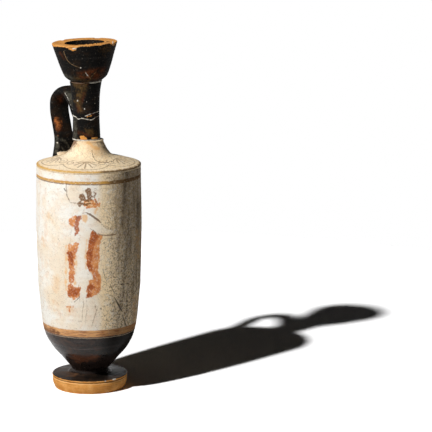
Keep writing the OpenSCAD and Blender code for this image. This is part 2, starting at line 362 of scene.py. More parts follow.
@dataclass
class Turned:
    """A turned wall: an outline of (radius, height) runs, spun round its stand's axis."""

    name: str
    stand: Stand = field(default_factory=Stand)
    columns: int = 240
    front_share: float = 0.0
    runs: list[Array] = field(default_factory=list)

    def run(self, line: Array | list[Point], step: float) -> "Turned":
        """Adds a stretch of the outline, with points about a step apart in mm."""
        self.runs.append(even_steps(np.array(line, float), step))
        return self

    def outline(self) -> Array:
        """Joins the runs.

        Returns:
            All of them as one line, without doubled points.
        """
        line = np.vstack(self.runs)
        keep = np.concatenate([[True], np.linalg.norm(np.diff(line, axis=0), axis=1) > 1e-4])
        return line[keep]

    def bend(self, places: Array) -> Array:
        """Moves the spun points once more, for sherds with an uneven break."""
        return places

    def spin(self, relief: "Relief") -> bpy.types.Object:
        """Spins the outline into a closed mesh.

        Args:
            relief: the unevenness of the surface.

        Returns:
            The object.
        """
        line = self.outline()
        capped = line[0][0] < 1e-6
        if not capped and np.linalg.norm(line[0] - line[-1]) < 1e-4:
            line = line[:-1]
        ring = line[1:-1] if capped else line
        before = np.roll(line, 1, axis=0)[1:-1] if capped else np.roll(line, 1, axis=0)
        after = np.roll(line, -1, axis=0)[1:-1] if capped else np.roll(line, -1, axis=0)
        way = after - before
        out = np.stack([way[:, 1], -way[:, 0]], 1) / np.linalg.norm(way, axis=1, keepdims=True)
        a = bearings(self.columns, self.front_share)
        places = spun(ring, a)
        sides = spun(out, a)
        places = self.bend(places + relief.push(places, sides)[..., None] * sides)
        rows, cols = len(ring), self.columns
        grid = np.arange(rows * cols).reshape(rows, cols)
        near, far = grid, np.roll(grid, -1, axis=0)
        if capped:
            near, far = grid[:-1], grid[1:]
        quads = np.stack([near, np.roll(near, -1, axis=1), np.roll(far, -1, axis=1), far], -1)
        faces = quads.reshape(-1, 4).tolist()
        flat = places.reshape(-1, 3)
        if capped:
            low, high = len(flat), len(flat) + 1
            flat = np.vstack([flat, [[0, 0, line[0][1]], [0, 0, line[-1][1]]]])
            faces += [(low, int(q), int(p)) for p, q in zip(grid[0], np.roll(grid[0], -1))]
            faces += [(high, int(p), int(q)) for p, q in zip(grid[-1], np.roll(grid[-1], -1))]
        return mesh_object(self.name, self.stand.out(flat), faces)


def spun(line: Array, directions: Array) -> Array:
    """Copies a line's (radius, height) pairs to every direction.

    Args:
        line: the pairs, one row each.
        directions: in radians.

    Returns:
        An array of rows, directions and three coordinates.
    """
    r, z = line[:, None, 0], line[:, None, 1]
    zero = np.zeros((1, len(directions)))
    return np.stack([r * np.cos(directions), r * np.sin(directions), z + zero], -1)


@dataclass(frozen=True)
class Scar:
    """A shallow chip: its place in the piece's own frame, its radius and its depth, in mm."""

    place: tuple[float, float, float]
    radius: float
    depth: float


@dataclass(frozen=True)
class Relief:
    """The unevenness of a hand-made wall, in mm."""

    wobble: float = 0.12
    wobble_size: float = 40.0
    ridge: float = 0.05
    ridge_pitch: float = 3.5
    grain: float = 0.03
    grain_size: float = 2.2
    sunk: Point = (0.4, 0.5)
    clear: float = 0.03
    seed: int = 1
    scars: tuple[Scar, ...] = ()

    def push(self, places: Array, sides: Array) -> Array:
        """How far each point moves out of the surface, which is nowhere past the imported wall.

        Args:
            places: points of the wall in its own frame.
            sides: the wall's outward directions.

        Returns:
            Distances in mm.
        """
        slow = rough(places, self.wobble_size, self.seed)
        turn = np.sin(2 * math.pi * places[..., 2] / self.ridge_pitch + 2 * slow)
        fine = rough(places, self.grain_size, self.seed + 10, 2)
        upright = np.linalg.norm(sides[..., :2], axis=-1)
        wobble_in, ridge_in = self.sunk
        out = self.wobble * (slow - wobble_in) + self.ridge * (turn * upright - ridge_in) + self.grain * fine
        out = np.minimum(out, -self.clear)
        for scar in self.scars:
            away = np.linalg.norm(places - np.array(scar.place), axis=-1)
            inside = scar.radius * (1 + 0.3 * rough(places, scar.radius, self.seed + 20, 2)) - away
            out = out - scar.depth * soft_step(inside, 0, 0.45 * scar.radius)
        return out


# Finishes


Socket = bpy.types.NodeSocket


class Nodes:
    """A node tree, with short calls for what the finishes and the studio need."""

    def __init__(self, tree: bpy.types.NodeTree) -> None:
        """Starts with an empty tree."""
        tree.nodes.clear()
        self.nodes, self.links = tree.nodes, tree.links

    def add(self, kind: str) -> bpy.types.Node:
        """Adds a node of a kind."""
        return self.nodes.new("ShaderNode" + kind)

    def feed(self, socket: Socket, value: object) -> None:
        """Fills a socket.

        Args:
            socket: the socket.
            value: a number, a colour, or another socket to link to it.
        """
        if isinstance(value, Socket):
            self.links.new(value, socket)
        elif isinstance(value, tuple) and len(value) == 3 and socket.type == "RGBA":
            socket.default_value = (*value, 1)
        else:
            socket.default_value = value

    def maths(self, what: str, a: object, b: object = 0.0, c: object = 0.0) -> Socket:
        """One sum on numbers.

        Args:
            what: the operation's name.
            a: first number or socket.
            b: second number or socket.
            c: third number or socket.

        Returns:
            The result's socket.
        """
        node = self.add("Math")
        node.operation = what
        for socket, value in zip(node.inputs, (a, b, c)):
            self.feed(socket, value)
        return node.outputs[0]

    def times(self, a: object, b: object) -> Socket:
        """The product of two numbers."""
        return self.maths("MULTIPLY", a, b)

    def line(self, x: object, slope: object, start: object) -> Socket:
        """A number that grows from start by slope for each unit of x."""
        return self.maths("MULTIPLY_ADD", x, slope, start)

    def stir(self, value: object, cloud: object, amount: float) -> Socket:
        """A number moved up and down by a cloud whose values lie about 0.5."""
        return self.line(self.maths("SUBTRACT", cloud, 0.5), amount, value)

    def rise(self, x: object, low: float, high: float) -> Socket:
        """Rises smoothly from 0 to 1.

        Args:
            x: the number that it follows.
            low: where it is 0.
            high: where it is 1.

        Returns:
            The result's socket.
        """
        node = self.add("MapRange")
        node.interpolation_type = "SMOOTHSTEP"
        for socket, value in zip(node.inputs, (x, low, high, 0.0, 1.0)):
            self.feed(socket, value)
        return node.outputs[0]

    def blend(self, share: object, a: object, b: object) -> Socket:
        """Mixes two colours.

        Args:
            share: how much of the second shows.
            a: first colour.
            b: second colour.

        Returns:
            The mixed colour's socket.
        """
        node = self.add("Mix")
        node.data_type = "RGBA"
        for place, value in ((0, share), (6, a), (7, b)):
            self.feed(node.inputs[place], value)
        return node.outputs[2]

    def weigh(self, share: object, a: object, b: object) -> Socket:
        """Mixes two numbers.

        Args:
            share: how much of the second counts.
            a: first number.
            b: second number.

        Returns:
            The mixed number's socket.
        """
        node = self.add("Mix")
        for place, value in ((0, share), (2, a), (3, b)):
            self.feed(node.inputs[place], value)
        return node.outputs[0]

    def rays(self, *kinds: str) -> Socket:
        """Tells kinds of rays apart.

        Args:
            *kinds: the kinds' names.

        Returns:
            A socket that is 1 for rays of any of them.
        """
        path = self.add("LightPath")
        total = path.outputs[kinds[0]]
        for kind in kinds[1:]:
            total = self.maths("MAXIMUM", total, path.outputs[kind])
        return total


class Graph(Nodes):
    """A material's nodes."""

    def __init__(self, name: str) -> None:
        """Starts an empty material with one surface shader.

        Args:
            name: the material's name.
        """
        self.material = bpy.data.materials.new(name)
        self.material.use_nodes = True
        super().__init__(self.material.node_tree)
        self.shader = self.add("BsdfPrincipled")
        self.links.new(self.shader.outputs[0], self.add("OutputMaterial").inputs[0])
        self.place = self.add("TexCoord").outputs["Object"]

    def mark(self, name: str) -> Socket:
        """The value stored on the points under a name.

        Args:
            name: the kind of mark, or the name of the value that holds the wall's wear and its painted shade
                on the side turned from the light.

        Returns:
            The value's socket.
        """
        node = self.add("Attribute")
        node.attribute_name = name
        return node.outputs["Fac"]

    def stretched(self, along: float, up: float) -> Socket:
        """Coordinates for a pattern that is drawn out.

        Args:
            along: scale in the level directions.
            up: scale upward.

        Returns:
            The coordinates' socket.
        """
        node = self.add("Mapping")
        self.links.new(self.place, node.inputs[0])
        node.inputs["Scale"].default_value = (along, along, up)
        return node.outputs[0]

    def noise(self, size: float, detail: float = 3.0, at: object = None, twist: float = 0.0) -> Socket:
        """Cloudy values about 0.5.

        Args:
            size: size of a feature in mm.
            detail: how many finer layers.
            at: coordinates, or None for the object's own.
            twist: distortion.

        Returns:
            The value's socket.
        """
        node = self.add("TexNoise")
        self.feed(node.inputs["Vector"], at or self.place)
        for name, value in (("Scale", 1 / (size * MM)), ("Detail", detail), ("Roughness", FINER_SHARE),
                            ("Distortion", twist)):
            node.inputs[name].default_value = value
        return node.outputs["Fac"]

    def cells(self, size: float, feature: str, at: object = None) -> Socket:
        """Distances in a pattern of cells.

        Args:
            size: size of a cell in mm.
            feature: which distance.
            at: coordinates, or None for the object's own.

        Returns:
            The distance's socket, in cells.
        """
        node = self.add("TexVoronoi")
        node.feature = feature
        self.feed(node.inputs["Vector"], at or self.place)
        node.inputs["Scale"].default_value = 1 / (size * MM)
        return node.outputs["Distance"]

    def height(self) -> Socket:
        """The height over the resting surface.

        Returns:
            Its socket, in mm.
        """
        node = self.add("SeparateXYZ")
        self.links.new(self.place, node.inputs[0])
        return self.times(node.outputs[2], 1 / MM)

    def within(self, mark: str, soft: float, ragged: Socket, amount: float, moved: float = 0.0) -> Socket:
        """Where a kind of mark covers the surface.

        Args:
            mark: the kind of mark.
            soft: how soft its edge is, in pixels.
            ragged: values about 0.5 that move the edge in and out.
            amount: how far they move it, in pixels.
            moved: how far a coarser tear moves it, in pixels.

        Returns:
            A socket that is 1 inside and 0 outside, with a worn edge.
        """
        distance = self.mark(mark)
        if moved:
            distance = self.stir(distance, self.noise(3.6, 4.0, twist=0.5), moved)
        distance = self.stir(distance, ragged, 2 * amount)
        return self.rise(self.times(distance, -1.0), -soft, soft)

    def close(self, coat: "Layer", bump: float, gloss: object) -> bpy.types.Material:
        """Joins the last coat to the shader.

        Args:
            coat: colour, roughness and height of the surface.
            bump: how strongly the height shows.
            gloss: the shader's specular level.

        Returns:
            The material.
        """
        for name, value in (("Base Color", coat.colour), ("Roughness", coat.roughness),
                            ("Specular IOR Level", gloss)):
            self.feed(self.shader.inputs[name], value)
        node = self.add("Bump")
        node.inputs["Strength"].default_value = bump
        node.inputs["Distance"].default_value = MM
        self.feed(node.inputs["Height"], coat.relief)
        self.links.new(node.outputs[0], self.shader.inputs["Normal"])
        return self.material


@dataclass(frozen=True)
class Layer:
    """A coat of slip or bare clay: sockets or values for colour, roughness and height in mm."""

    colour: object
    roughness: object
    relief: object

    def tinted(self, g: Graph, share: object, colour: object) -> "Layer":
        """This coat, stained where share is 1, with the same surface."""
        return replace(self, colour=g.blend(share, self.colour, colour))

    def stained(self, g: Graph, stain: "Stain", ragged: Socket, patchy: object = 1.0) -> "Layer":
        """This coat with one kind of mark on it.

        Args:
            g: the material's nodes.
            stain: how the marks look.
            ragged: values about 0.5 that fray their edges.
            patchy: how much of them is left.

        Returns:
            The stained coat.
        """
        share = g.within(stain.mark, stain.soft, ragged, stain.fray)
        return self.tinted(g, g.times(g.times(share, patchy), stain.strength), stain.colour)

    def over(self, g: Graph, share: object, below: "Layer") -> "Layer":
        """Lays this coat over another where share is 1.

        Args:
            g: the material's nodes.
            share: where this coat shows.
            below: the coat under it.

        Returns:
            Both as one coat.
        """
        return Layer(g.blend(share, below.colour, self.colour),
                     g.weigh(share, below.roughness, self.roughness),
                     g.weigh(share, below.relief, self.relief))


@dataclass(frozen=True)
class Stain:
    """How one kind of mark looks: its edge's softness and fraying in pixels, its strength and its colour."""

    mark: str
    soft: float
    fray: float
    strength: float
    colour: Colour


@dataclass(frozen=True)
class Glaze:
    """Black gloss slip: dense black, browner where thin, with a dull sheen and pinholes."""

    deep: Colour = (0.0045, 0.0040, 0.0035)
    thin: Colour = (0.020, 0.011, 0.006)
    dull: Colour = (0.013, 0.012, 0.011)
    pinhole: Colour = (0.09, 0.06, 0.04)
    gloss: float = 0.38
    worn: float = 0.60
    pinhole_gap: float = 2.6

    def coat(self, g: Graph) -> Layer:
        """Lays the slip down.

        Args:
            g: the material's nodes.

        Returns:
            Its coat.
        """
        cloud = g.noise(9.0, 4.0, twist=0.6)
        fine = g.noise(0.9, 3.0)
        wheel = g.noise(5.0, 3.0, at=g.stretched(0.12, 3.0))
        colour = g.blend(g.rise(cloud, 0.48, 0.7), self.deep, self.thin)
        colour = g.blend(g.rise(wheel, 0.5, 0.75), colour, self.dull)
        pin = g.rise(g.cells(self.pinhole_gap, "F1"), 0.10, 0.05)
        colour = g.blend(g.times(pin, 0.35), colour, self.pinhole)
        sheen = g.rise(g.maths("ADD", cloud, g.times(fine, 0.4)), 0.45, 0.95)
        relief = g.line(wheel, 0.10, g.line(fine, 0.05, g.times(pin, -0.06)))
        return Layer(colour, g.weigh(sheen, self.gloss, self.worn), relief)


@dataclass(frozen=True)
class Clay:
    """Fine orange clay, turned smooth, with darker flecks and wheel lines."""

    warm: Colour = (0.68, 0.29, 0.065)
    light: Colour = (0.80, 0.40, 0.12)
    dark: Colour = (0.26, 0.095, 0.028)
    roughness: float = 0.72

    def coat(self, g: Graph) -> Layer:
        """Lays the clay bare.

        Args:
            g: the material's nodes.

        Returns:
            Its coat.
        """
        cloud = g.noise(7.0, 4.0)
        wheel = g.noise(3.0, 4.0, at=g.stretched(0.15, 3.5))
        fleck = g.noise(0.8, 2.0)
        colour = g.blend(g.rise(cloud, 0.4, 0.65), self.warm, self.light)
        colour = g.blend(g.times(g.rise(wheel, 0.52, 0.68), 0.45), colour, self.dark)
        colour = g.blend(g.times(g.rise(fleck, 0.62, 0.75), 0.5), colour, self.dark)
        return Layer(colour, self.roughness, g.line(wheel, 0.25, g.times(fleck, 0.1)))


@dataclass(frozen=True)
class Ground:
    """The white ground: a chalky cream slip, stained, crazed and speckled with age, with painted shade in tan
    and olive on the side turned from the light.
    """

    cream: Colour = (0.88, 0.76, 0.60)
    ivory: Colour = (0.92, 0.88, 0.80)
    pink: Colour = (0.84, 0.64, 0.47)
    # tan, olive and grey follow the wear value: besides real wear and soiling, they paint the shade on the
    # side turned from the light
    tan: Colour = (0.97, 0.73, 0.41)
    olive: Colour = (0.50, 0.36, 0.20)
    grey: Colour = (0.64, 0.55, 0.47)
    brown: Colour = (0.12, 0.075, 0.042)
    chalk: Colour = (0.72, 0.66, 0.56)
    roughness: float = 0.8
    craze_size: float = 3.4
    clean_z: float = 185.0
    dirty_z: float = 70.0

    def coat(self, g: Graph) -> Layer:
        """Lays the white slip down. It reads the piece's wear and the painted shade of its side turned from
        the light.

        Args:
            g: the material's nodes.

        Returns:
            Its coat.
        """
        wear = g.mark("wear")
        broad = g.noise(26.0, 4.0, twist=0.4)
        middle = g.noise(8.0, 5.0, twist=0.8)
        fine = g.noise(1.5, 4.0)
        grain = g.noise(0.95, 3.0)
        patchy = g.noise(4.2, 4.0, twist=0.5)
        streak = g.noise(6.0, 4.0, at=g.stretched(1.6, 0.16))
        clouds = g.stir(wear, middle, 1.1)
        low = g.rise(g.height(), self.clean_z, self.dirty_z)
        soiled = g.times(g.rise(clouds, 0.36, 0.86), g.line(low, -0.80, 0.90))
        dull = g.times(g.rise(patchy, 0.46, 0.62), g.rise(clouds, 0.5, 0.9))
        bloom = g.times(g.rise(patchy, 0.48, 0.36), g.rise(wear, 0.06, 0.4))
        drip = g.rise(g.line(wear, 0.28, streak), 0.68, 0.94)
        fleck = g.times(g.rise(grain, 0.56, 0.66), g.rise(clouds, 0.25, 0.6))
        peppered = g.line(g.rise(wear, -0.04, 0.60), 0.09, g.times(wear, 0.06))
        speck = g.times(g.rise(g.maths("ADD", peppered, fine), 0.63, 0.75), g.line(low, 0.38, 0.34))
        dust = g.rise(g.line(wear, 0.06, g.maths("SUBTRACT", 1.0, grain)), 0.58, 0.72)
        craze = g.rise(g.cells(self.craze_size, "DISTANCE_TO_EDGE", g.stretched(1.0, 0.8)), 0.05, 0.0)
        craze = g.times(craze, g.rise(g.maths("ADD", wear, patchy), 0.36, 0.9))
        colour = g.blend(g.rise(broad, 0.38, 0.60), self.cream, self.ivory)
        # the tan, olive and grey shares grow on the right and behind, where they also paint shade
        for share, strength, tone in (
                (g.rise(middle, 0.5, 0.72), 0.5, self.pink), (g.rise(wear, 0.0, 0.26), 0.8, self.tan),
                (g.rise(patchy, 0.52, 0.66), 0.34, self.pink), (soiled, 1.0, self.olive),
                (dull, 0.5, self.grey), (bloom, 0.42, self.ivory), (drip, 0.55, self.brown),
                (fleck, 0.75, self.chalk), (speck, 1.0, self.brown), (dust, 0.35, self.brown),
                (craze, 0.5, self.brown)):
            colour = g.blend(g.times(share, strength), colour, tone)
        relief = g.line(fine, 0.2, g.line(grain, 0.08, g.times(craze, -0.12)))
        return Layer(colour, self.roughness, relief)


@dataclass(frozen=True)
class Filler:
    """Pale, slightly yellowed mending plaster."""

    pale: Colour = (0.70, 0.66, 0.58)
    soiled: Colour = (0.34, 0.29, 0.22)
    roughness: float = 0.85

    def coat(self, g: Graph) -> Layer:
        """Lays the filler down.

        Args:
            g: the material's nodes.

        Returns:
            Its coat.
        """
        cloud = g.noise(2.5, 4.0)
        colour = g.blend(g.rise(cloud, 0.45, 0.7), self.pale, self.soiled)
        return Layer(colour, self.roughness, g.times(cloud, 0.3))


@dataclass(frozen=True)
class Finish:
    """A piece's whole finish. Its kinds of marks are the values that it reads from the points."""

    kinds: tuple[str, ...]

    def material(self, name: str) -> bpy.types.Material:
        """Builds the material under a name."""
        raise NotImplementedError


@dataclass(frozen=True)
class GlazeFinish(Finish):
    """The finish of the glazed pieces: gloss slip with misfired, worn, bare and scarred places, and painted
    highlights and reflections.
    """

    kinds: tuple[str, ...] = ("brown", "olive", "haze", "rust", "bare", "crack", "pale", "slip")
    rust: tuple[Colour, Colour] = ((0.028, 0.010, 0.004), (0.14, 0.036, 0.009))
    warm: Stain = Stain("rust", 1.8, 6.0, 1.0, (0.46, 0.145, 0.036))
    olive: Stain = Stain("olive", 3.4, 9.0, 0.65, (0.125, 0.070, 0.022))
    # a grey haze on the gloss that is mostly painted sheen: highlights and reflections of the light, with a
    # few grey spots
    haze: Stain = Stain("haze", 1.0, 2.6, 0.75, (0.090, 0.084, 0.064))
    slip: Stain = Stain("slip", 0.6, 1.2, 1.0, Ground.cream)
    fleck: Colour = (0.30, 0.26, 0.20)
    crack: Colour = (0.34, 0.21, 0.10)
    crack_rough: float = 0.8
    clay_depth: float = 0.5
    gloss: float = 0.095

    def material(self, name: str) -> bpy.types.Material:
        """Builds the material.

        Args:
            name: the material's name.

        Returns:
            The material.
        """
        g = Graph(name)
        edge = g.noise(1.8, 3.0)
        slow = g.noise(4.0, 4.0)
        patchy = g.line(g.rise(g.noise(2.4, 4.0, twist=0.6), 0.40, 0.58), 0.75, 0.25)
        coat = Glaze().coat(g)
        coat = coat.tinted(g, g.times(g.within("brown", 2.4, slow, 5.0), 0.85),
                           g.blend(g.rise(slow, 0.42, 0.62), *self.rust))
        coat = coat.stained(g, self.warm, slow, patchy).stained(g, self.olive, slow, patchy)
        coat = coat.tinted(g, g.times(g.rise(g.noise(0.9, 2.0, twist=0.3), 0.66, 0.72), 0.45), self.fleck)
        coat = coat.stained(g, self.haze, edge, patchy)
        clay = Clay().coat(g)
        clay = replace(clay, relief=g.maths("SUBTRACT", clay.relief, self.clay_depth))
        coat = clay.over(g, g.within("bare", 0.3, edge, 1.0), coat).stained(g, self.slip, edge)
        crack = g.within("crack", 0.3, edge, 0.4)
        coat = Layer(g.blend(g.times(crack, 0.75), coat.colour, self.crack), self.crack_rough,
                     g.line(crack, -0.2, coat.relief))
        coat = Filler().coat(g).over(g, g.within("pale", 0.3, edge, 0.5), coat)
        return g.close(coat, 0.5, self.gloss)


@dataclass(frozen=True)
class GroundFinish(Finish):
    """The finish of the white-ground wall: slip, brushed lines, washes, bands and the gloss below them, with
    painted shade on the side turned from the light.
    """

    kinds: tuple[str, ...] = ("wear", "wash", "cloak", "hair", "ochre", "ink", "faint", "scratch", "pale",
                              "stain", "core", "burnt")
    # the first stain is a painted core shadow: near-black streaks down the shaded right side of the wall and
    # the flare
    broad: tuple[Stain, ...] = (Stain("core", 2.6, 3.0, 0.7, (0.060, 0.040, 0.022)),
                                Stain("stain", 3.0, 9.0, 0.42, (0.78, 0.46, 0.20)),
                                Stain("ochre", 1.0, 3.0, 0.7, (0.84, 0.45, 0.15)))
    fine: tuple[Stain, ...] = (Stain("pale", 1.6, 1.5, 0.42, (0.93, 0.84, 0.71)),
                               Stain("faint", 0.35, 0.7, 0.72, (0.24, 0.14, 0.07)))
    drawn: tuple[Stain, ...] = (Stain("ink", 0.3, 0.6, 0.85, (0.17, 0.085, 0.040)),
                                Stain("scratch", 0.3, 0.5, 0.85, (0.035, 0.028, 0.020)))
    # a dark reddish-brown patch: at the foot of the cup, at the band's left end, and as a dark wedge on the
    # flare between the handle's root and the collar
    burnt: Stain = Stain("burnt", 2.0, 6.0, 0.8, (0.135, 0.052, 0.026))
    wash: tuple[Colour, Colour] = ((0.72, 0.28, 0.080), (0.56, 0.17, 0.045))
    cloak: tuple[Colour, Colour] = ((0.50, 0.135, 0.036), (0.30, 0.068, 0.020))
    hair: Colour = (0.22, 0.105, 0.042)
    ochre_line: tuple[Colour, Colour] = ((0.56, 0.27, 0.024), (0.10, 0.050, 0.018))
    seam_line: tuple[Colour, Colour] = ((0.62, 0.34, 0.075), (0.075, 0.034, 0.010))
    under_line: Colour = (0.16, 0.070, 0.014)
    seam_z: Point = (195.2, 196.6)
    ochre_z: Point = (185.9, 188.1)
    band: tuple[Colour, Colour] = ((0.72, 0.36, 0.13), (0.34, 0.125, 0.040))
    # the band's dark tone on the worn side, which also paints its shade there
    aged_and_shaded_band: Colour = (0.17, 0.085, 0.040)
    band_z: Point = (52.4, 58.7)
    black: Glaze = Glaze(deep=(0.030, 0.025, 0.023), thin=(0.070, 0.042, 0.032), dull=(0.115, 0.088, 0.080),
                         gloss=0.20, worn=0.42)
    warm_black: Colour = (0.060, 0.034, 0.026)
    # painted shade: the black below the bands darkens on the side turned from the light
    shaded_side_black: Colour = (0.008, 0.007, 0.006)
    # painted shade: the turned-under cup darkens toward the stem, where it faces down to the foot
    under_cup_shade_black: Colour = (0.016, 0.010, 0.008)
    under_cup_shade_z: Point = (34.5, 30.0)
    black_z: Point = (52.9, 52.2)
    pale_line: Colour = (0.66, 0.50, 0.34)
    pale_z: Point = (51.4, 51.8)

    def material(self, name: str) -> bpy.types.Material:
        """Builds the material.

        Args:
            name: the material's name.

        Returns:
            The material.
        """
        g = Graph(name)
        edge = g.noise(1.5, 3.0)
        slow = g.noise(4.5, 4.0)
        wear = g.mark("wear")
        core, stain, ochre = self.broad
        coat = Ground().coat(g).stained(g, core, slow).stained(g, stain, slow)
        for mark in self.fine:
            coat = coat.stained(g, mark, edge)
        coat = coat.stained(g, ochre, slow)
        wash = g.blend(g.rise(slow, 0.42, 0.62), *self.wash)
        cloak = g.blend(g.rise(slow, 0.38, 0.62), *self.cloak)
        for mark, strength, tear, colour in (("wash", 0.95, 5.0, wash), ("cloak", 0.92, 5.0, cloak),
                                             ("hair", 0.95, 1.6, self.hair)):
            coat = coat.tinted(g, self.brushed(g, mark, edge, strength, tear), colour)
        for mark in self.drawn:
            coat = coat.stained(g, mark, edge)
        coat = self.bands(g, coat, wear, slow, edge).stained(g, self.burnt, slow)
        return g.close(coat, 0.55, g.line(g.rise(wear, 0.1, 0.8), -0.17, 0.2))

    def brushed(self, g: Graph, mark: str, edge: Socket, strength: float, tear: float) -> Socket:
        """Where a worn wash still covers.

        Args:
            g: the material's nodes.
            mark: the kind of wash.
            edge: values that fray its edge.
            strength: how much of the slip it hides.
            tear: how far its outline is torn, in pixels.

        Returns:
            The share's socket.
        """
        kept = g.rise(g.noise(1.2, 3.0, at=g.stretched(1.0, 0.7)), 0.66, 0.53)
        share = g.within(mark, 0.5, edge, 1.2, tear)
        return g.times(share, g.line(kept, 0.45 * strength, 0.55 * strength))

    def ring(self, g: Graph, height: Socket, ends: Point, soft: float = 0.25) -> Socket:
        """1 between two heights in mm and 0 elsewhere."""
        low, high = ends
        return g.times(g.rise(height, low - soft, low + soft), g.rise(height, high + soft, high - soft))

    def bands(self, g: Graph, coat: Layer, wear: Socket, slow: Socket, edge: Socket) -> Layer:
        """Adds the lines turned under the shoulder and the bands over the foot.

        Args:
            g: the material's nodes.
            coat: the coat under them.
            wear: how worn the wall is, and how much painted shade it takes on the side turned from the light.
            slow: broad unevenness.
            edge: fine unevenness.

        Returns:
            The coat with its bands.
        """
        wave = g.stir(g.stir(g.height(), edge, 0.7), slow, 0.8)
        kept = g.rise(g.noise(2.6, 3.0, at=g.stretched(1.0, 3.0)), 0.70, 0.58)
        # the lines and the band darken where the wear value is high: aged discolouring, and painted shade on
        # the side turned from the light
        aged_and_shaded = g.rise(wear, 0.20, 0.60)
        seam = g.blend(g.times(g.rise(wear, 0.19, 0.22), 0.9), *self.seam_line)
        ochre = g.blend(g.times(aged_and_shaded, 0.9), *self.ochre_line)
        for ends, under_share, colour in ((self.seam_z, 0.2, seam), (self.ochre_z, 0.85, ochre)):
            share = g.times(self.ring(g, wave, ends), kept)
            coat = coat.tinted(g, g.times(share, 0.9), colour)
            under = g.times(self.ring(g, wave, (ends[0] - 0.9, ends[0])), kept)
            under = g.times(under, g.line(aged_and_shaded, 0.9 - under_share, under_share))
            coat = coat.tinted(g, under, self.under_line)
        streak = g.noise(2.2, 4.0, at=g.stretched(0.22, 2.0))
        tan = g.blend(g.rise(streak, 0.42, 0.62), *self.band)
        tan = g.blend(g.times(aged_and_shaded, 0.55), tan, self.aged_and_shaded_band)
        coat = coat.tinted(g, g.times(self.ring(g, wave, self.band_z, 0.4), g.line(kept, 0.25, 0.70)), tan)
        warm = g.rise(g.noise(6.0, 4.0, at=g.stretched(0.3, 2.4)), 0.5, 0.68)
        black = self.black.coat(g).tinted(g, g.times(warm, 0.6), self.warm_black)
        # painted shade on the black's right side, turned from the light
        black = black.tinted(g, g.times(g.rise(wear, 0.03, 0.5), 0.9), self.shaded_side_black)
        # painted shade on the turned-under cup near the stem
        black = black.tinted(g, g.times(g.rise(wave, *self.under_cup_shade_z), 0.9), self.under_cup_shade_black)
        coat = black.over(g, g.rise(wave, *self.black_z), coat)
        line = g.times(self.ring(g, wave, self.pale_z, 0.2), kept)
        return coat.tinted(g, g.times(line, 0.8), self.pale_line)


@dataclass(frozen=True)
class FootFinish(Finish):
    """The finish of the foot: bare clay with gloss on its upper face and rim, a painted shadow and sheen on
    its top, and painted shade and highlight at its groove.
    """

    kinds: tuple[str, ...] = ("pale", "haze", "soot")
    slip: Glaze = Glaze(deep=(0.022, 0.014, 0.010), thin=(0.10, 0.048, 0.024), dull=(0.075, 0.040, 0.023),
                        gloss=0.26, worn=0.46)
    # a painted shadow that the wall casts on the foot's top
    soot: Stain = Stain("soot", 2.0, 3.0, 0.9, (0.006, 0.005, 0.004))
    # a painted sheen of the light on the foot's glossy top
    haze: Stain = Stain("haze", 0.8, 1.6, 0.7, (0.26, 0.255, 0.25))
    slip_z: Point = (11.5, 11.8)
    # painted shade darkens the groove under the upper edge, and a painted highlight lightens the ledge below
    # it
    groove: Colour = (0.085, 0.034, 0.012)
    groove_z: Point = (9.6, 10.6)
    ledge: Colour = (0.88, 0.55, 0.24)
    ledge_highlight_z: Point = (8.6, 9.7)
    soft: float = 0.3
    gloss: float = 0.075

    def material(self, name: str) -> bpy.types.Material:
        """Builds the material.

        Args:
            name: the material's name.

        Returns:
            The material.
        """
        g = Graph(name)
        edge = g.noise(2.0, 3.0)
        slip = self.slip.coat(g).stained(g, self.soot, edge).stained(g, self.haze, edge)
        wave = g.stir(g.height(), edge, 0.9)
        coat = slip.over(g, g.rise(wave, *self.slip_z), Clay().coat(g))
        # the groove's painted shade and the ledge's painted highlight
        for ends, strength, colour in ((self.groove_z, 0.8, self.groove), (self.ledge_highlight_z, 0.5, self.ledge)):
            low, high = ends
            ring = g.times(g.rise(wave, low, low + self.soft), g.rise(wave, high, high - self.soft))
            coat = coat.tinted(g, g.times(ring, strength), colour)
        coat = Filler().coat(g).over(g, g.within("pale", 0.3, edge, 0.6), coat)
        return g.close(coat, 0.5, self.gloss)


@dataclass(frozen=True)
class MendFinish(Finish):
    """The finish of the fillers between sherds."""

    kinds: tuple[str, ...] = ("soil",)
    soil: Stain = Stain("soil", 1.0, 1.5, 0.9, (0.16, 0.075, 0.032))
    gloss: float = 0.2

    def material(self, name: str) -> bpy.types.Material:
        """Builds the material.

        Args:
            name: the material's name.

        Returns:
            The material.
        """
        g = Graph(name)
        return g.close(Filler().coat(g).stained(g, self.soil, g.noise(2.0, 3.0)), 0.5, self.gloss)


def dress(item: bpy.types.Object, node: str, slot: Slot, finish: Finish, sight: Sight,
          marks: Marks) -> None:
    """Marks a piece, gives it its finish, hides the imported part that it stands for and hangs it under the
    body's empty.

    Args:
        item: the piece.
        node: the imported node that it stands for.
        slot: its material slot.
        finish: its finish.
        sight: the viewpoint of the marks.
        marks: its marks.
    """
    given = {layer.name for layer in item.data.attributes}
    stencil(item, sight, {name: marks.get(name, ()) for name in finish.kinds if name not in given})
    item.data.materials.append(finish.material(f"{node}_{slot.value}"))
    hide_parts(node)
    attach(item, BODY)
    log.info("%s: %d points, %s", item.name, len(item.data.vertices), slot.value)


# The vessel's parts


def arc(p: Point, q: Point, rise: float, count: int = 9) -> list[Point]:
    """A round arc between two places.

    Args:
        p: its start as (radius, height) in mm.
        q: its end.
        rise: how far it stands out to the right of the way.
        count: how many points it has.

    Returns:
        Its points.
    """
    a, b = np.array(p, float), np.array(q, float)
    way = b - a
    side = np.array([way[1], -way[0]]) / np.linalg.norm(way)
    t = np.linspace(0, 1, count)[:, None]
    return [tuple(row) for row in a + way * t + side * rise * 4 * t * (1 - t)]


@dataclass(frozen=True)
class FlatBelow(Relief):
    """Unevenness that leaves the resting ring flat."""

    def push(self, places: Array, sides: Array) -> Array:
        """How far each point moves, which is nothing at the resting surface."""
        return super().push(places, sides) * soft_step(places[..., 2], 0.0, 1.0)


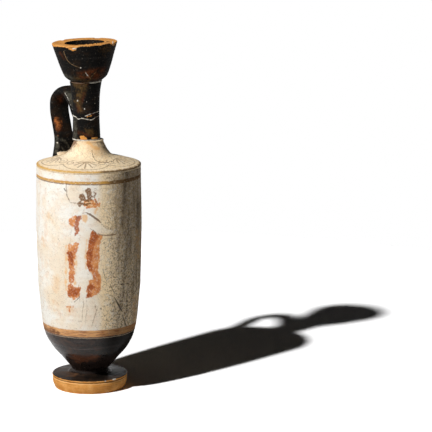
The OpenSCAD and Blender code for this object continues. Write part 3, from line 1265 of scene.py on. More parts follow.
@dataclass
class Foot:
    """The turned disc foot, hollow below, with a groove under its upper edge."""

    edge_d: float = 65.2
    height: float = 12.0
    rest_d: float = 60.6
    rest_w: float = 6.0
    hollow: float = 6.5
    bulge: float = 0.9
    groove: float = 0.6
    band: float = 2.2
    rise: float = 1.1
    ring_w: float = 2.4
    ring_h: float = 0.9
    seat_depth: float = 1.6
    stem_d: float = 32.0
    round_r: float = 0.5
    ledge: Point = (0.3, 0.25)
    ledge_h: float = 0.6
    swell: tuple[float, float, float, float] = (0.15, 0.55, -0.15, 0.5)
    marks: Marks = field(default_factory=lambda: {
        # painted sheen where the light catches the right of the foot's top
        "haze": (Stroke(((110.0, 373.5), (118.0, 371.0), (125.0, 367.5)), 2.6),),
        # painted shadow of the wall on the foot's top
        "soot": (Patch(((82.0, 374.6), (90.0, 373.0), (108.0, 372.0), (112.0, 375.0), (104.0, 379.0),
                        (86.0, 379.6))),),
        # the thin arc along the stem joint is a painted highlight in filler colour; the spots are filler
        "pale": (Stroke(((105.3, 381.0),), 0.9), Stroke(((113.3, 379.5), (115.0, 379.2)), 0.7),
                 Stroke(((72.6, 370.6), (77.6, 371.8), (84.0, 372.6)), 0.1)),
    })

    @property
    def seat_z(self) -> float:
        """Height of the seat that the stem stands in."""
        return self.height + self.rise + self.ring_h - self.seat_depth

    def build(self) -> bpy.types.Object:
        """Turns the foot.

        Returns:
            The object.
        """
        rest, edge, c = self.rest_d / 2, self.edge_d / 2, self.round_r
        low_swell, lip_swell, top_swell, ring_swell = self.swell
        side, groove_z = edge - self.groove, self.height - self.band
        lip_z = groove_z + self.ledge_h
        ring_z, ring, stem = self.height + self.rise, self.stem_d / 2 + self.ring_w, self.stem_d / 2
        foot = Turned("foot_disc", columns=288, front_share=0.3)
        foot.run(arc((0, self.hollow), (rest - self.rest_w, 0), -self.hollow / 8), 1.2)
        foot.run(arc((rest - self.rest_w, 0), (rest - c, 0), 0), 1.0)
        foot.run(arc((rest - c, 0), (rest, c), low_swell), 0.25)
        foot.run(arc((rest, c), (side, groove_z), self.bulge), 0.5)
        foot.run([(side, groove_z), (side - self.ledge[0], groove_z + self.ledge[1]), (side, lip_z)], 0.2)
        foot.run(arc((side, lip_z), (edge - c, self.height), lip_swell), 0.3)
        foot.run(arc((edge - c, self.height), (ring + c, ring_z), top_swell), 0.9)
        foot.run(arc((ring + c, ring_z), (stem, ring_z + self.ring_h), ring_swell), 0.35)
        foot.run([(stem, ring_z + self.ring_h), (stem, self.seat_z), (0, self.seat_z)], 1.5)
        return foot.spin(FlatBelow(wobble=0.10, ridge=0.03, ridge_pitch=2.4, grain=0.04, seed=4))

    def dress(self, item: bpy.types.Object, sight: Sight) -> None:
        """Gives the foot its clay and slip."""
        dress(item, "foot", Slot.CLAY, FootFinish(), sight, self.marks)


@dataclass(frozen=True)
class Drawing:
    """The worn figure, the wall's stains and cracks, and its painted core shade, in pixels of the
    photograph's frame.
    """

    wash: Kind = (
        Patch(((76.4, 215.4), (72.0, 216.6), (69.0, 219.0), (69.6, 224.6), (73.0, 227.0), (75.4, 222.0))),
        Patch(((68.4, 243.4), (73.0, 244.6), (76.0, 242.4), (78.4, 243.6), (77.8, 249.4), (75.4, 256.0),
               (74.6, 264.0), (74.6, 271.8), (73.2, 282.7), (68.8, 282.7), (68.8, 272.0), (69.2, 262.0),
               (67.2, 256.4), (66.8, 250.0))),
        Patch(((89.5, 240.0), (91.6, 230.6), (96.6, 232.8), (102.4, 236.0), (100.5, 242.0), (99.1, 249.0),
               (100.0, 258.2), (99.1, 263.6), (97.7, 270.9), (100.0, 275.5), (101.4, 280.9),
               (100.9, 289.1), (99.1, 293.6), (94.6, 295.6), (90.9, 297.3), (85.9, 297.5), (86.8, 289.1),
               (89.1, 280.9), (93.0, 278.6), (92.6, 274.4), (89.1, 271.8), (87.3, 266.4), (86.4, 258.2),
               (87.3, 249.1))),
        Patch(((71.0, 282.6), (74.0, 286.4), (80.2, 287.4), (80.5, 294.0), (77.0, 298.4), (73.6, 299.6),
               (67.8, 296.4), (67.2, 286.0))), Stroke(((66.6, 306.4), (73.0, 306.6)), 0.6),
        Stroke(((69.4, 306.6), (69.6, 311.6)), 0.6),
        Stroke(((84.4, 202.0), (88.0, 200.4), (93.0, 200.8)), 1.0),
        Stroke(((84.8, 205.6), (89.0, 203.4), (95.0, 203.8)), 1.0),
        Stroke(((87.0, 208.0), (91.0, 206.4), (96.0, 206.8)), 1.0),
        Stroke(((95.6, 199.6), (97.6, 202.6), (96.4, 206.4)), 0.9),
        Stroke(((98.6, 199.0), (99.4, 206.0)), 0.7),
    )
    cloak: Kind = (
        Patch(((81.4, 215.5), (80.5, 219.5), (78.6, 225.0), (79.5, 228.6), (78.6, 233.2), (74.5, 236.2),
               (75.2, 232.3), (73.8, 227.7), (75.2, 221.4), (77.0, 216.4))),
        Patch(((67.6, 250.6), (72.0, 252.5), (73.6, 257.0), (72.6, 266.0), (70.0, 266.0), (67.8, 258.0))),
        Patch(((91.8, 230.8), (99.6, 235.4), (97.4, 241.0), (93.6, 248.0), (92.4, 256.0), (91.4, 264.5),
               (93.6, 271.6), (89.4, 271.0), (87.4, 264.0), (86.8, 256.0), (88.2, 247.0), (90.0, 238.0))),
        Patch(((89.4, 283.0), (94.4, 284.4), (95.4, 288.0), (92.0, 291.0), (91.4, 296.4), (86.2, 297.0),
               (87.2, 290.0))),
        Patch(((68.0, 287.6), (74.0, 289.0), (79.6, 288.6), (79.8, 294.0), (74.6, 297.4), (68.6, 295.4))),
    )
    hair: Kind = (
        Patch(((85.0, 190.6), (87.6, 187.6), (90.4, 188.6), (91.8, 192.4), (92.2, 195.8), (91.4, 200.0),
               (87.2, 200.2), (87.0, 195.2))),
        Patch(((79.6, 194.2), (83.6, 193.2), (85.2, 197.4), (85.2, 201.2), (81.2, 200.6), (78.8, 197.2))),
        Patch(((76.6, 203.6), (80.6, 200.8), (83.0, 204.4), (79.2, 207.8))),
        Stroke(((93.8, 192.2), (95.8, 193.4), (94.4, 196.0)), (0.6, 1.0, 0.6)),
        Stroke(((82.0, 203.4), (86.0, 204.6), (90.0, 203.4)), 1.1),
        Stroke(((91.4, 196.6), (94.6, 197.0)), 0.6),
        Stroke(((84.8, 199.8), (88.0, 201.0), (92.0, 199.4)), 0.8),
        Stroke(((95.0, 200.4), (96.8, 203.0)), 0.4),
    )
    ochre: Kind = (
        Patch(((81.6, 214.6), (87.4, 214.4), (88.0, 219.0), (86.0, 222.6), (82.4, 222.0))),
        Patch(((84.0, 202.6), (90.0, 200.6), (96.6, 201.4), (96.0, 207.0), (88.0, 208.0))),
        Stroke(((86.4, 240.0), (85.6, 258.0), (86.2, 268.0)), 0.7),
        Stroke(((66.0, 246.0), (66.0, 290.0)), 0.7),
        Stroke(((76.6, 258.0), (75.6, 272.0), (74.8, 284.0)), 0.7),
        Stroke(((97.0, 209.0), (94.6, 213.0)), 1.0),
    )
    ink: Kind = (
        Stroke(((82.3, 213.2), (86.4, 212.8), (90.0, 214.5), (93.6, 216.8), (97.3, 219.5), (101.2, 222.9)),
                (0.3, 0.5, 1.0, 1.0, 1.0, 0.5)),
        Stroke(((90.0, 228.6), (92.7, 230.0), (96.4, 233.2), (100.9, 235.0), (107.3, 235.5),
                (114.5, 234.5), (116.8, 233.6)), (0.3, 0.4, 0.5, 0.5, 0.55, 0.5, 0.3)),
        Stroke(((102.7, 226.5), (107.0, 226.6), (110.6, 228.6), (114.8, 228.6)), 0.3),
        Stroke(((74.4, 302.0), (79.8, 297.0)), 0.4),
    )
    faint: Kind = (
        Stroke(((83.0, 299.0), (83.6, 305.0), (82.4, 311.0), (82.0, 321.0)), 0.22),
        Stroke(((86.0, 299.0), (87.0, 306.0), (86.6, 313.0), (85.0, 322.0)), 0.22),
        Stroke(((97.2, 308.6), (94.6, 316.6), (91.8, 326.0)), 0.35),
        Stroke(((78.8, 285.0), (79.8, 300.0)), 0.3),
        Stroke(((66.6, 183.6), (66.0, 187.4), (66.8, 191.6), (66.6, 195.4), (68.6, 198.8), (70.2, 202.6),
                (74.0, 203.0), (77.4, 203.6)), (0.5, 0.3, 0.5, 0.3, 0.6, 0.4, 0.5, 0.3)),
        Stroke(((92.6, 307.0), (98.0, 306.8)), 0.3), Stroke(((95.2, 304.8), (95.4, 309.2)), 0.3),
        Stroke(((101.6, 224.0), (106.0, 228.0), (116.0, 231.0)), 0.35),
        Stroke(((103.0, 176.5), (105.5, 179.5)), 0.35), Stroke(((109.0, 177.0), (112.0, 179.8)), 0.35),
    )
    scratch: Kind = (
        Stroke(((64.0, 188.4), (65.6, 191.0)), 0.5), Stroke(((66.8, 194.4), (67.4, 197.4)), 0.35),
        Stroke(((102.8, 269.0), (105.6, 279.0)), 0.35), Stroke(((110.0, 284.0), (113.8, 292.0)), 0.4),
        Stroke(((114.4, 297.4), (118.0, 304.0), (122.2, 311.6)), (0.4, 0.8, 0.5)),
        Stroke(((123.4, 317.8), (126.6, 327.5)), 0.45), Stroke(((121.0, 284.4), (122.4, 284.0)), 0.6),
        Stroke(((100.9, 308.6),), 0.8), Stroke(((111.0, 271.0), (112.2, 274.6)), 0.35),
        Stroke(((116.4, 251.6), (118.2, 252.4)), 0.4), Stroke(((104.0, 242.4), (104.2, 243.4)), 0.5),
    )
    pale: Kind = (
        Patch(((82.0, 224.0), (88.0, 219.0), (93.5, 220.5), (102.0, 225.6), (109.0, 230.0), (113.0, 232.6),
               (103.0, 233.6), (97.0, 231.6), (90.8, 228.6), (89.6, 234.0), (86.4, 250.0), (85.6, 264.0),
               (87.8, 272.0), (86.6, 284.0), (85.2, 299.0), (81.6, 299.0), (80.0, 282.0), (76.6, 268.0),
               (78.4, 250.0), (80.6, 236.0))), Stroke(((93.0, 275.6), (89.6, 275.4)), 1.3),
        Stroke(((94.4, 293.6),), 1.1), Stroke(((117.4, 229.6),), 0.7),
        Stroke(((89.0, 211.0), (94.0, 212.0)), 1.0), Stroke(((84.4, 195.0), (86.2, 199.4)), 0.9),
    )
    stain: Kind = (
        Stroke(((55.6, 281.0), (58.0, 288.0)), 3.4), Stroke(((52.6, 300.0), (57.6, 308.6)), 1.0),
        Stroke(((137.6, 231.0), (138.4, 258.0)), 1.0), Stroke(((135.8, 297.0), (133.8, 320.0)), 0.8),
        Stroke(((50.0, 212.0), (48.0, 219.0)), 1.0), Stroke(((43.0, 238.0), (44.6, 243.0)), 1.0),
        Stroke(((69.0, 308.0), (70.0, 312.0)), 1.4), Stroke(((42.0, 324.0), (56.0, 330.0)), 0.8),
    )
    # painted core shadow down the wall's right side, turned from the light
    core: Kind = (
        Stroke(((124.6, 184.0), (124.4, 200.0), (123.4, 216.0), (122.6, 234.0)), (1.4, 1.2, 0.8, 0.1)),
        Stroke(((138.0, 200.0), (139.0, 262.0)), 0.6),
    )
    # dark reddish-brown at the foot of the cup and at the band's left end
    burnt: Kind = (
        Patch(((69.0, 354.6), (84.0, 356.0), (99.0, 356.0), (96.0, 359.6), (84.0, 361.6), (76.0, 361.4))),
        Stroke(((42.0, 327.0), (47.0, 330.4), (58.0, 333.6)), (2.8, 2.8, 1.0)),
    )


def worn_and_shaded_side(places: Array, seed: int) -> Array:
    """How worn and stained the wall is, and how much painted shade it takes: little at the left front, much
    on the right and behind, away from the light.

    Args:
        places: points in mm in the row frame.
        seed: which pattern of unevenness.

    Returns:
        Values from 0 to 1.
    """
    round_front = np.degrees(np.arctan2(places[:, 0], -places[:, 1]))
    right = soft_step(round_front, 2, 52)
    behind = soft_step(-round_front, 75, 140) * 0.6
    return np.clip(np.maximum(right, behind) + 0.15 * rough(places, 30.0, seed), 0, 1)


@dataclass
class Wall(Turned):
    """A wall whose turned-under part leans a little to the right."""

    sway: float = 0.7
    sway_z: tuple[float, float, float, float] = (13.0, 20.0, 32.0, 52.0)

    def bend(self, places: Array) -> Array:
        """Moves the turned-under part to the right.

        Args:
            places: the spun points in mm.

        Returns:
            The moved points.
        """
        low, on, off, high = self.sway_z
        z = places[..., 2]
        places[..., 0] += self.sway * soft_step(z, low, on) * (1 - soft_step(z, off, high))
        return places


@dataclass
class Body:
    """The tall turned wall on its stem, with the cavity inside."""

    seat_z: float = 12.4
    body_d: float = 90.4
    height: float = 181.5
    wall: float = 4.5
    floor: float = 20.0
    floor_bowl: float = 1.5
    top_draw: float = 0.6
    taper: Point = (1.1, 79.0)
    ground: Point = (5.2, 42.0)
    turn: Point = (11.6, 26.0)
    cup: Point = (24.0, 14.2)
    stem: Point = (16.0, 4.4)
    drawing: Drawing = field(default_factory=Drawing)

    @property
    def seam_z(self) -> float:
        """Height of the seam under the shoulder."""
        return self.seat_z + self.height

    def build(self) -> bpy.types.Object:
        """Turns the wall.

        Returns:
            The object.
        """
        r, z, w = self.body_d / 2, self.seat_z, self.wall
        top = r - self.top_draw
        middle_z = (z + self.taper[1] + self.seam_z) / 2
        turn, ground, taper = ((r - inset, z + height)
                               for inset, height in (self.turn, self.ground, self.taper))
        outer = [(self.stem[0], z + self.stem[1]), (self.cup[0], z + self.cup[1]), turn, ground, taper]
        inner = [(0, z + self.floor), ((turn[0] - w) / 2, z + self.floor + self.floor_bowl),
                 (turn[0] - w, turn[1] + w), (ground[0] - w, ground[1] + w), (taper[0] - w, taper[1])]
        body = Wall("body_wall", columns=320, front_share=0.4)
        body.run([(0, z), (self.stem[0], z)], 4.0)
        body.run([(self.stem[0], z), outer[0]], 0.8)
        body.run(smooth_line(outer), 0.8)
        body.run(smooth_line([outer[-1], (r, middle_z), (top, self.seam_z)]), 0.8)
        body.run([(top, self.seam_z), (top - w, self.seam_z)], 1.5)
        body.run([(top - w, self.seam_z), (r - w, middle_z), inner[-1]], 8.0)
        body.run(smooth_line(inner)[::-1], 4.0)
        return body.spin(Relief(wobble=0.14, wobble_size=45.0, ridge=0.045, ridge_pitch=4.2, grain=0.02,
                                seed=7))

    def dress(self, item: bpy.types.Object, sight: Sight) -> None:
        """Paints the wall."""
        store(item, "wear", worn_and_shaded_side(points_of(item)[0], 31))
        dress(item, "body", Slot.GROUND, GroundFinish(), sight, dict(vars(self.drawing)))


@dataclass
class Frieze:
    """Palmettes joined by scrolls, drawn in mm along the shoulder's middle circle and mm out."""

    count: int = 5
    first: float = -92.0
    inner: float = 21.5
    outer: float = 39.5
    line: float = 0.42
    petals: int = 7
    fan: float = 150.0
    heart: float = 3.5
    petal: Point = (9.5, 3.5)
    petal_bend: Point = (0.55, 1.12)
    scroll_r: float = 4.6
    scroll_turn: float = 400.0
    scroll_close: float = 0.75
    scroll_at: Point = (5.2, 7.0)
    garland: Point = (0.8, 7.5)

    @property
    def middle(self) -> float:
        """The radius at which mm round are measured."""
        return (self.inner + self.outer) / 2

    @property
    def pitch(self) -> float:
        """The way from one palmette to the next, in mm."""
        return 2 * math.pi * self.middle / self.count

    def palmette(self) -> list[Stroke]:
        """Draws the petals of the palmette at 0.

        Returns:
            One line for each petal.
        """
        out = []
        heart = (0.0, self.inner + self.heart)
        for k in range(self.petals):
            a = math.radians(self.fan * (k / (self.petals - 1) - 0.5))
            reach = self.petal[0] + self.petal[1] * math.cos(a)
            tip = (reach * math.sin(a), heart[1] + reach * math.cos(a))
            share, b = self.petal_bend[0] * reach, self.petal_bend[1] * a
            bend = (share * math.sin(b), heart[1] + share * math.cos(b))
            out.append(Stroke((heart, bend, tip), (self.line * 0.7, self.line * 1.5, self.line)))
        return out

    def scrolls(self) -> list[Stroke]:
        """Draws the scrolls beside the palmette and the garland over them.

        Returns:
            Their lines.
        """
        out = []
        for side in (-1, 1):
            scroll = []
            for t in np.linspace(0, 1, 26):
                a = math.radians(self.scroll_turn * t - 90)
                r = self.scroll_r * (1 - self.scroll_close * t)
                scroll.append((side * (self.pitch / 2 - self.scroll_at[0] + r * math.cos(a)),
                               self.inner + self.scroll_at[1] + r * math.sin(a)))
            rim = [(side * self.pitch / 2 * t, self.outer + self.garland[0] - self.garland[1] * t**3)
                   for t in (0, 0.3, 0.6, 0.85, 1)]
            out += [Stroke(tuple(scroll), self.line), Stroke(tuple(rim), self.line)]
        return out

    def distance(self, places: Array) -> Array:
        """Measures how far points of the shoulder lie from the frieze's lines.

        Args:
            places: points in mm in the row frame.

        Returns:
            Distances in mm.
        """
        along = (np.arctan2(places[:, 1], places[:, 0]) - math.radians(self.first)) * self.middle
        along = (along + self.pitch / 2) % self.pitch - self.pitch / 2
        flat = np.stack([along, np.hypot(places[:, 0], places[:, 1])], 1)
        reach = np.full(len(flat), FAR)
        near = flat[:, 1] > self.inner - 2
        for stroke in self.palmette() + self.scrolls():
            reach[near] = np.minimum(reach[near], stroke.distance(flat[near]))
        return reach


@dataclass
class Shoulder:
    """The flared cover on the wall, with the collar that carries the neck."""

    seam_z: float = 193.9
    top_r: float = 44.4
    wall: float = 4.5
    edge_h: float = 2.4
    edge_out: float = 0.1
    edge_round: float = 0.2
    rise: float = 6.7
    flare_d: float = 42.5
    flare_h: float = 14.1
    hollow: Point = (0.7, 5.0)
    collar_d: float = 25.6
    collar_h: float = 2.2
    bore_r: float = 7.0
    collar_bore_h: float = 6.1
    dome: Point = (1.0, 2.1)
    thick: float = 4.6
    dome_edge: float = 1.6
    lip: tuple[float, float, float] = (3.0, 3.0, 0.2)
    round_r: float = 0.5
    collar_round: float = 0.3
    # the shoulder's level of wear and painted shade: a base, and a share of the worn and shaded side
    soiled: Point = (0.18, 0.12)
    frieze: Frieze = field(default_factory=Frieze)
    marks: Marks = field(default_factory=lambda: {
        "ink": (Stroke(((92.0, 150.6), (92.6, 155.6), (95.6, 160.4), (101.0, 162.4), (109.0, 162.6)), 0.3),
                Stroke(((78.6, 144.6), (81.6, 150.4), (87.0, 155.0)), 0.05),
                Stroke(((96.8, 143.0), (99.6, 147.8)), 0.1),
                Stroke(((71.6, 153.4), (76.0, 152.6), (78.4, 155.4), (76.2, 158.4), (73.6, 157.0)), 0.1),
                Stroke(((55.0, 156.6), (61.4, 153.6), (68.0, 154.4)), 0.05),
                Stroke(((100.0, 155.0), (103.4, 151.6), (107.4, 153.4)), 0.05)),
        "scratch": (Stroke(((111.2, 161.0), (112.0, 162.0)), 0.4),),
        # the warm stain across the flare, whose broad right end also paints the shade on the flare's right
        # flank
        "stain": (Stroke(((75.0, 147.0), (84.0, 143.0), (92.0, 146.0), (99.0, 150.0)),
                          (1.6, 3.6, 4.8, 4.0)), Stroke(((100.0, 152.4), (106.0, 157.0)), 1.0)),
        "ochre": (Stroke(((88.0, 143.0), (94.0, 147.0), (98.6, 149.0)), 1.4),),
        # painted shade on the flare's right flank, turned from the light
        "core": (Stroke(((101.0, 143.0), (104.6, 148.6), (110.0, 152.6)), (0.6, 1.6, 0.6)),),
        # a dark wedge on the flare between the handle's root and the collar
        "burnt": (Patch(((70.0, 137.0), (77.6, 139.8), (76.2, 143.4), (73.4, 148.2), (68.8, 150.8),
                         (66.0, 151.0), (67.0, 142.0))),),
    })

    @property
    def edge_z(self) -> float:
        """Height of the top of the shoulder's edge."""
        return self.seam_z + self.edge_h

    @property
    def collar_z(self) -> float:
        """Height of the collar's top."""
        return self.edge_z + self.rise + self.flare_h

    def build(self) -> bpy.types.Object:
        """Turns the shoulder.

        Returns:
            The object.
        """
        r, z, c, soft = self.top_r, self.edge_z, self.round_r, self.collar_round
        flare, flare_z, bore = self.flare_d / 2, z + self.rise, self.bore_r
        lip_h, lip_w, gap = self.lip
        lip = r - self.wall - gap
        collar, top = self.collar_d / 2, self.collar_z
        over = smooth_line([(r - 2 * c, z + self.edge_round), ((r + flare) / 2, (z + flare_z) / 2),
                            (flare, flare_z),
                            ((flare + collar) / 2 - self.hollow[0], flare_z + self.hollow[1]),
                            (collar, top - self.collar_h)])
        under = smooth_line([(bore, top - self.collar_bore_h),
                             ((flare + bore) / 2 - self.dome[0], flare_z - self.dome[1]),
                             (flare, flare_z - self.thick), (lip - lip_w, z - self.thick + self.dome_edge)])
        cover = Turned("shoulder_cover", columns=320, front_share=0.35)
        cover.run([(lip, self.seam_z), (r, self.seam_z)], 1.5)
        cover.run([(r, self.seam_z), (r + self.edge_out, z - c)], 0.4)
        cover.run(arc((r + self.edge_out, z - c), (r - 2 * c, z + self.edge_round), 0.15), 0.3)
        cover.run(over, 0.7)
        cover.run([(collar, top - self.collar_h), (collar, top - soft)], 0.5)
        cover.run([(collar, top - soft), (collar - soft, top), (bore, top)], 1.2)
        cover.run([(bore, top), (bore, top - self.collar_bore_h)], 2.0)
        cover.run(under, 3.0)
        cover.run([(lip - lip_w, z - self.thick + self.dome_edge), (lip - lip_w, self.seam_z - lip_h),
                   (lip, self.seam_z - lip_h), (lip, self.seam_z)], 1.5)
        return cover.spin(Relief(wobble=0.12, ridge=0.05, ridge_pitch=2.6, grain=0.03, seed=12))

    def dress(self, item: bpy.types.Object, sight: Sight) -> None:
        """Paints the shoulder.

        Args:
            item: the turned cover.
            sight: the viewpoint of its marks.
        """
        places = points_of(item)[0]
        store(item, "wear", self.soiled[0] + self.soiled[1] * worn_and_shaded_side(places, 32))
        store(item, "faint", self.frieze.distance(places))
        dress(item, "shoulder", Slot.GROUND, GroundFinish(), sight, self.marks)


@dataclass(frozen=True)
class Break:
    """An uneven break round the neck: pairs of degrees from the front and mm up."""

    path: tuple[Point, ...]
    grain: float = 0.25
    seed: int = 40

    def lift(self, places: Array) -> Array:
        """Follows the break round the neck.

        Args:
            places: points of the neck in its own frame.

        Returns:
            How far the break lies over its mean height at each point's bearing, in mm.
        """
        round_front = np.degrees(np.arctan2(places[..., 0], -places[..., 1]))
        at, up = np.array(self.path).T
        level = np.interp(round_front, np.concatenate([at[-1:] - 360, at, at[:1] + 360]),
                          np.concatenate([up[-1:], up, up[:1]]))
        flat = places * (1, 1, 0)
        return level + self.grain * rough(flat, 3.0, self.seed, 2)


@dataclass
class Sherd(Turned):
    """A ring of the neck whose ends follow two breaks."""

    ends: Point = (0.0, 1.0)
    low: Break | None = None
    high: Break | None = None

    def bend(self, places: Array) -> Array:
        """Moves the ring's ends to the breaks.

        Args:
            places: the spun points in mm.

        Returns:
            The moved points.
        """
        t = ((places[..., 2] - self.ends[0]) / (self.ends[1] - self.ends[0])).clip(0, 1)
        lift = np.zeros(t.shape)
        if self.low:
            lift = lift + self.low.lift(places) * (1 - t) ** 2
        if self.high:
            lift = lift + self.high.lift(places) * t**2
        places[..., 2] += lift
        return places


@dataclass
class Neck:
    """The neck's two sherds, the mend between them and the mend under them."""

    stand: Stand = field(default_factory=lambda: Stand((-1.8, 0.0, 218.1), 0.55))
    lower_h: float = 18.0
    mend_t: float = 0.8
    upper_h: float = 29.4
    base_d: float = 24.0
    waist: Point = (11.4, 18.3)
    draw: Point = (0.25, 7.7)
    opening: float = 0.35
    flare: Point = (1.0, 8.0)
    top_d: float = 27.2
    bore_r: float = 7.0
    collar_mend: float = 1.1
    bite: float = 0.05
    thin: float = 3.0
    soil: Stroke = Stroke(((96.0, 116.0), (98.0, 114.0), (101.0, 112.0)), 1.5)
    broken: Break = Break(((-130, 0.6), (-90, 1.6), (-52, 1.2), (-34, -1.0), (-15, 0.1), (2, -0.9),
                           (22, -1.9), (38, -0.9), (46, 0.4), (80, 1.4), (130, -0.4), (165, 0.9)))
    marks: Marks = field(default_factory=lambda: {
        "olive": (Patch(((75.0, 84.0), (87.0, 85.0), (85.0, 91.0), (81.0, 97.0), (77.0, 97.0))),
                  Stroke(((78.0, 101.0), (80.6, 110.0)), 1.6), Stroke(((86.0, 131.6), (93.0, 134.0)), 1.4)),
        "brown": (Patch(((76.0, 81.0), (91.0, 82.4), (88.0, 85.0), (77.0, 84.0))),
                  Stroke(((84.0, 93.0), (82.0, 102.0)), 1.0),
                  Patch(((76.0, 105.0), (80.0, 105.0), (81.6, 111.0), (78.0, 112.0))),
                  Stroke(((89.0, 114.6), (94.0, 114.0)), 1.0), Stroke(((79.0, 133.0), (92.0, 135.6)), 1.4)),
        # painted reflection along the neck's left side, and a grey streak
        "haze": (Patch(((73.2, 117.0), (76.6, 119.0), (77.0, 139.0), (73.4, 139.0))),
                 Stroke(((94.8, 96.6), (95.1, 103.0)), 0.4)),
        "bare": (Patch(((79.8, 136.2), (83.6, 135.6), (87.0, 138.6), (86.4, 141.0), (80.6, 141.0))),
                 Stroke(((92.6, 138.4), (96.8, 138.0)), 1.1), Stroke(((78.0, 140.0), (80.0, 141.0)), 0.8),
                 Stroke(((87.0, 116.6), (91.4, 115.4)), 0.5)),
        "pale": (Stroke(((77.6, 100.6),), 0.7), Stroke(((84.0, 100.0),), 0.4),
                 Stroke(((86.6, 101.9),), 0.4), Stroke(((84.6, 108.9),), 0.5),
                 Stroke(((94.9, 103.6),), 0.4), Stroke(((95.0, 97.6),), 0.15),
                 Stroke(((85.3, 116.2), (90.7, 114.0), (98.7, 111.4)), 0.3)),
    })

    @property
    def height(self) -> float:
        """Length of the whole neck."""
        return self.lower_h + self.mend_t + self.upper_h

    def line(self) -> Array:
        """Draws the neck's outer line.

        Returns:
            Its points in the neck's own frame.
        """
        r, h = self.waist[0], self.height
        return smooth_line([(self.base_d / 2, 0), (r + self.draw[0], self.draw[1]), self.waist,
                            (r + self.opening, h - 2 * self.flare[1]), (r + self.flare[0], h - self.flare[1]),
                            (self.top_d / 2, h)], 24)

    def ring(self, name: str, low: float, high: float, seed: int, breaks: tuple[Break | None, Break | None],
             fuller: float = 0.0) -> bpy.types.Object:
        """Builds the stretch of the neck between two heights.

        Args:
            name: the piece's name.
            low: its lower end.
            high: its upper end.
            seed: its unevenness.
            breaks: the breaks at its two ends.
            fuller: how far it stands over the neck's line, in mm.

        Returns:
            The object.
        """
        line = self.line()
        at = np.linspace(low, high, max(4, int((high - low) * 3)))
        outer = np.stack([np.interp(at, line[:, 1], line[:, 0]) + fuller, at], 1)
        piece = Sherd(name, self.stand, columns=224, front_share=0.3, ends=(low, high), low=breaks[0],
                      high=breaks[1])
        out_step, in_step = (0.55, 2.0) if high - low > self.thin else (0.2, 0.3)
        piece.run([(self.bore_r, low), outer[0]], 1.0)
        piece.run(outer, out_step)
        piece.run([outer[-1], (self.bore_r, high)], 1.0)
        piece.run([(self.bore_r, high), (self.bore_r, low)], in_step)
        return piece.spin(Relief(wobble=0.10, wobble_size=18.0, ridge=0.04, ridge_pitch=2.2, grain=0.06,
                                 seed=seed))

    def build(self) -> dict[str, bpy.types.Object]:
        """Builds the four rings.

        Returns:
            The rings by node name.
        """
        cut, bite, broken = self.lower_h, self.bite, self.broken
        top = cut + self.mend_t
        flat = Break(((0.0, 0.0),), grain=0.12, seed=44)
        return {
            "collar_mend": self.ring("collar_filler", -self.collar_mend, bite, 21, (None, flat), -bite),
            "neck_lower": self.ring("neck_sherd_lower", 0.0, cut, 22, (flat, broken)),
            "neck_mend": self.ring("neck_filler", cut, top, 23, (broken, broken), bite),
            "neck_upper": self.ring("neck_sherd_upper", top, self.height, 24, (broken, None)),
        }

    def dress(self, items: dict[str, bpy.types.Object], sight: Sight) -> None:
        """Dresses the four rings.

        Args:
            items: the rings by node name.
            sight: the viewpoint of their marks.
        """
        for node, item in items.items():
            if node.endswith("mend"):
                dress(item, node, Slot.MEND, MendFinish(), sight, {"soil": (self.soil,)})
            else:
                dress(item, node, Slot.GLAZE, GlazeFinish(), sight, self.marks)


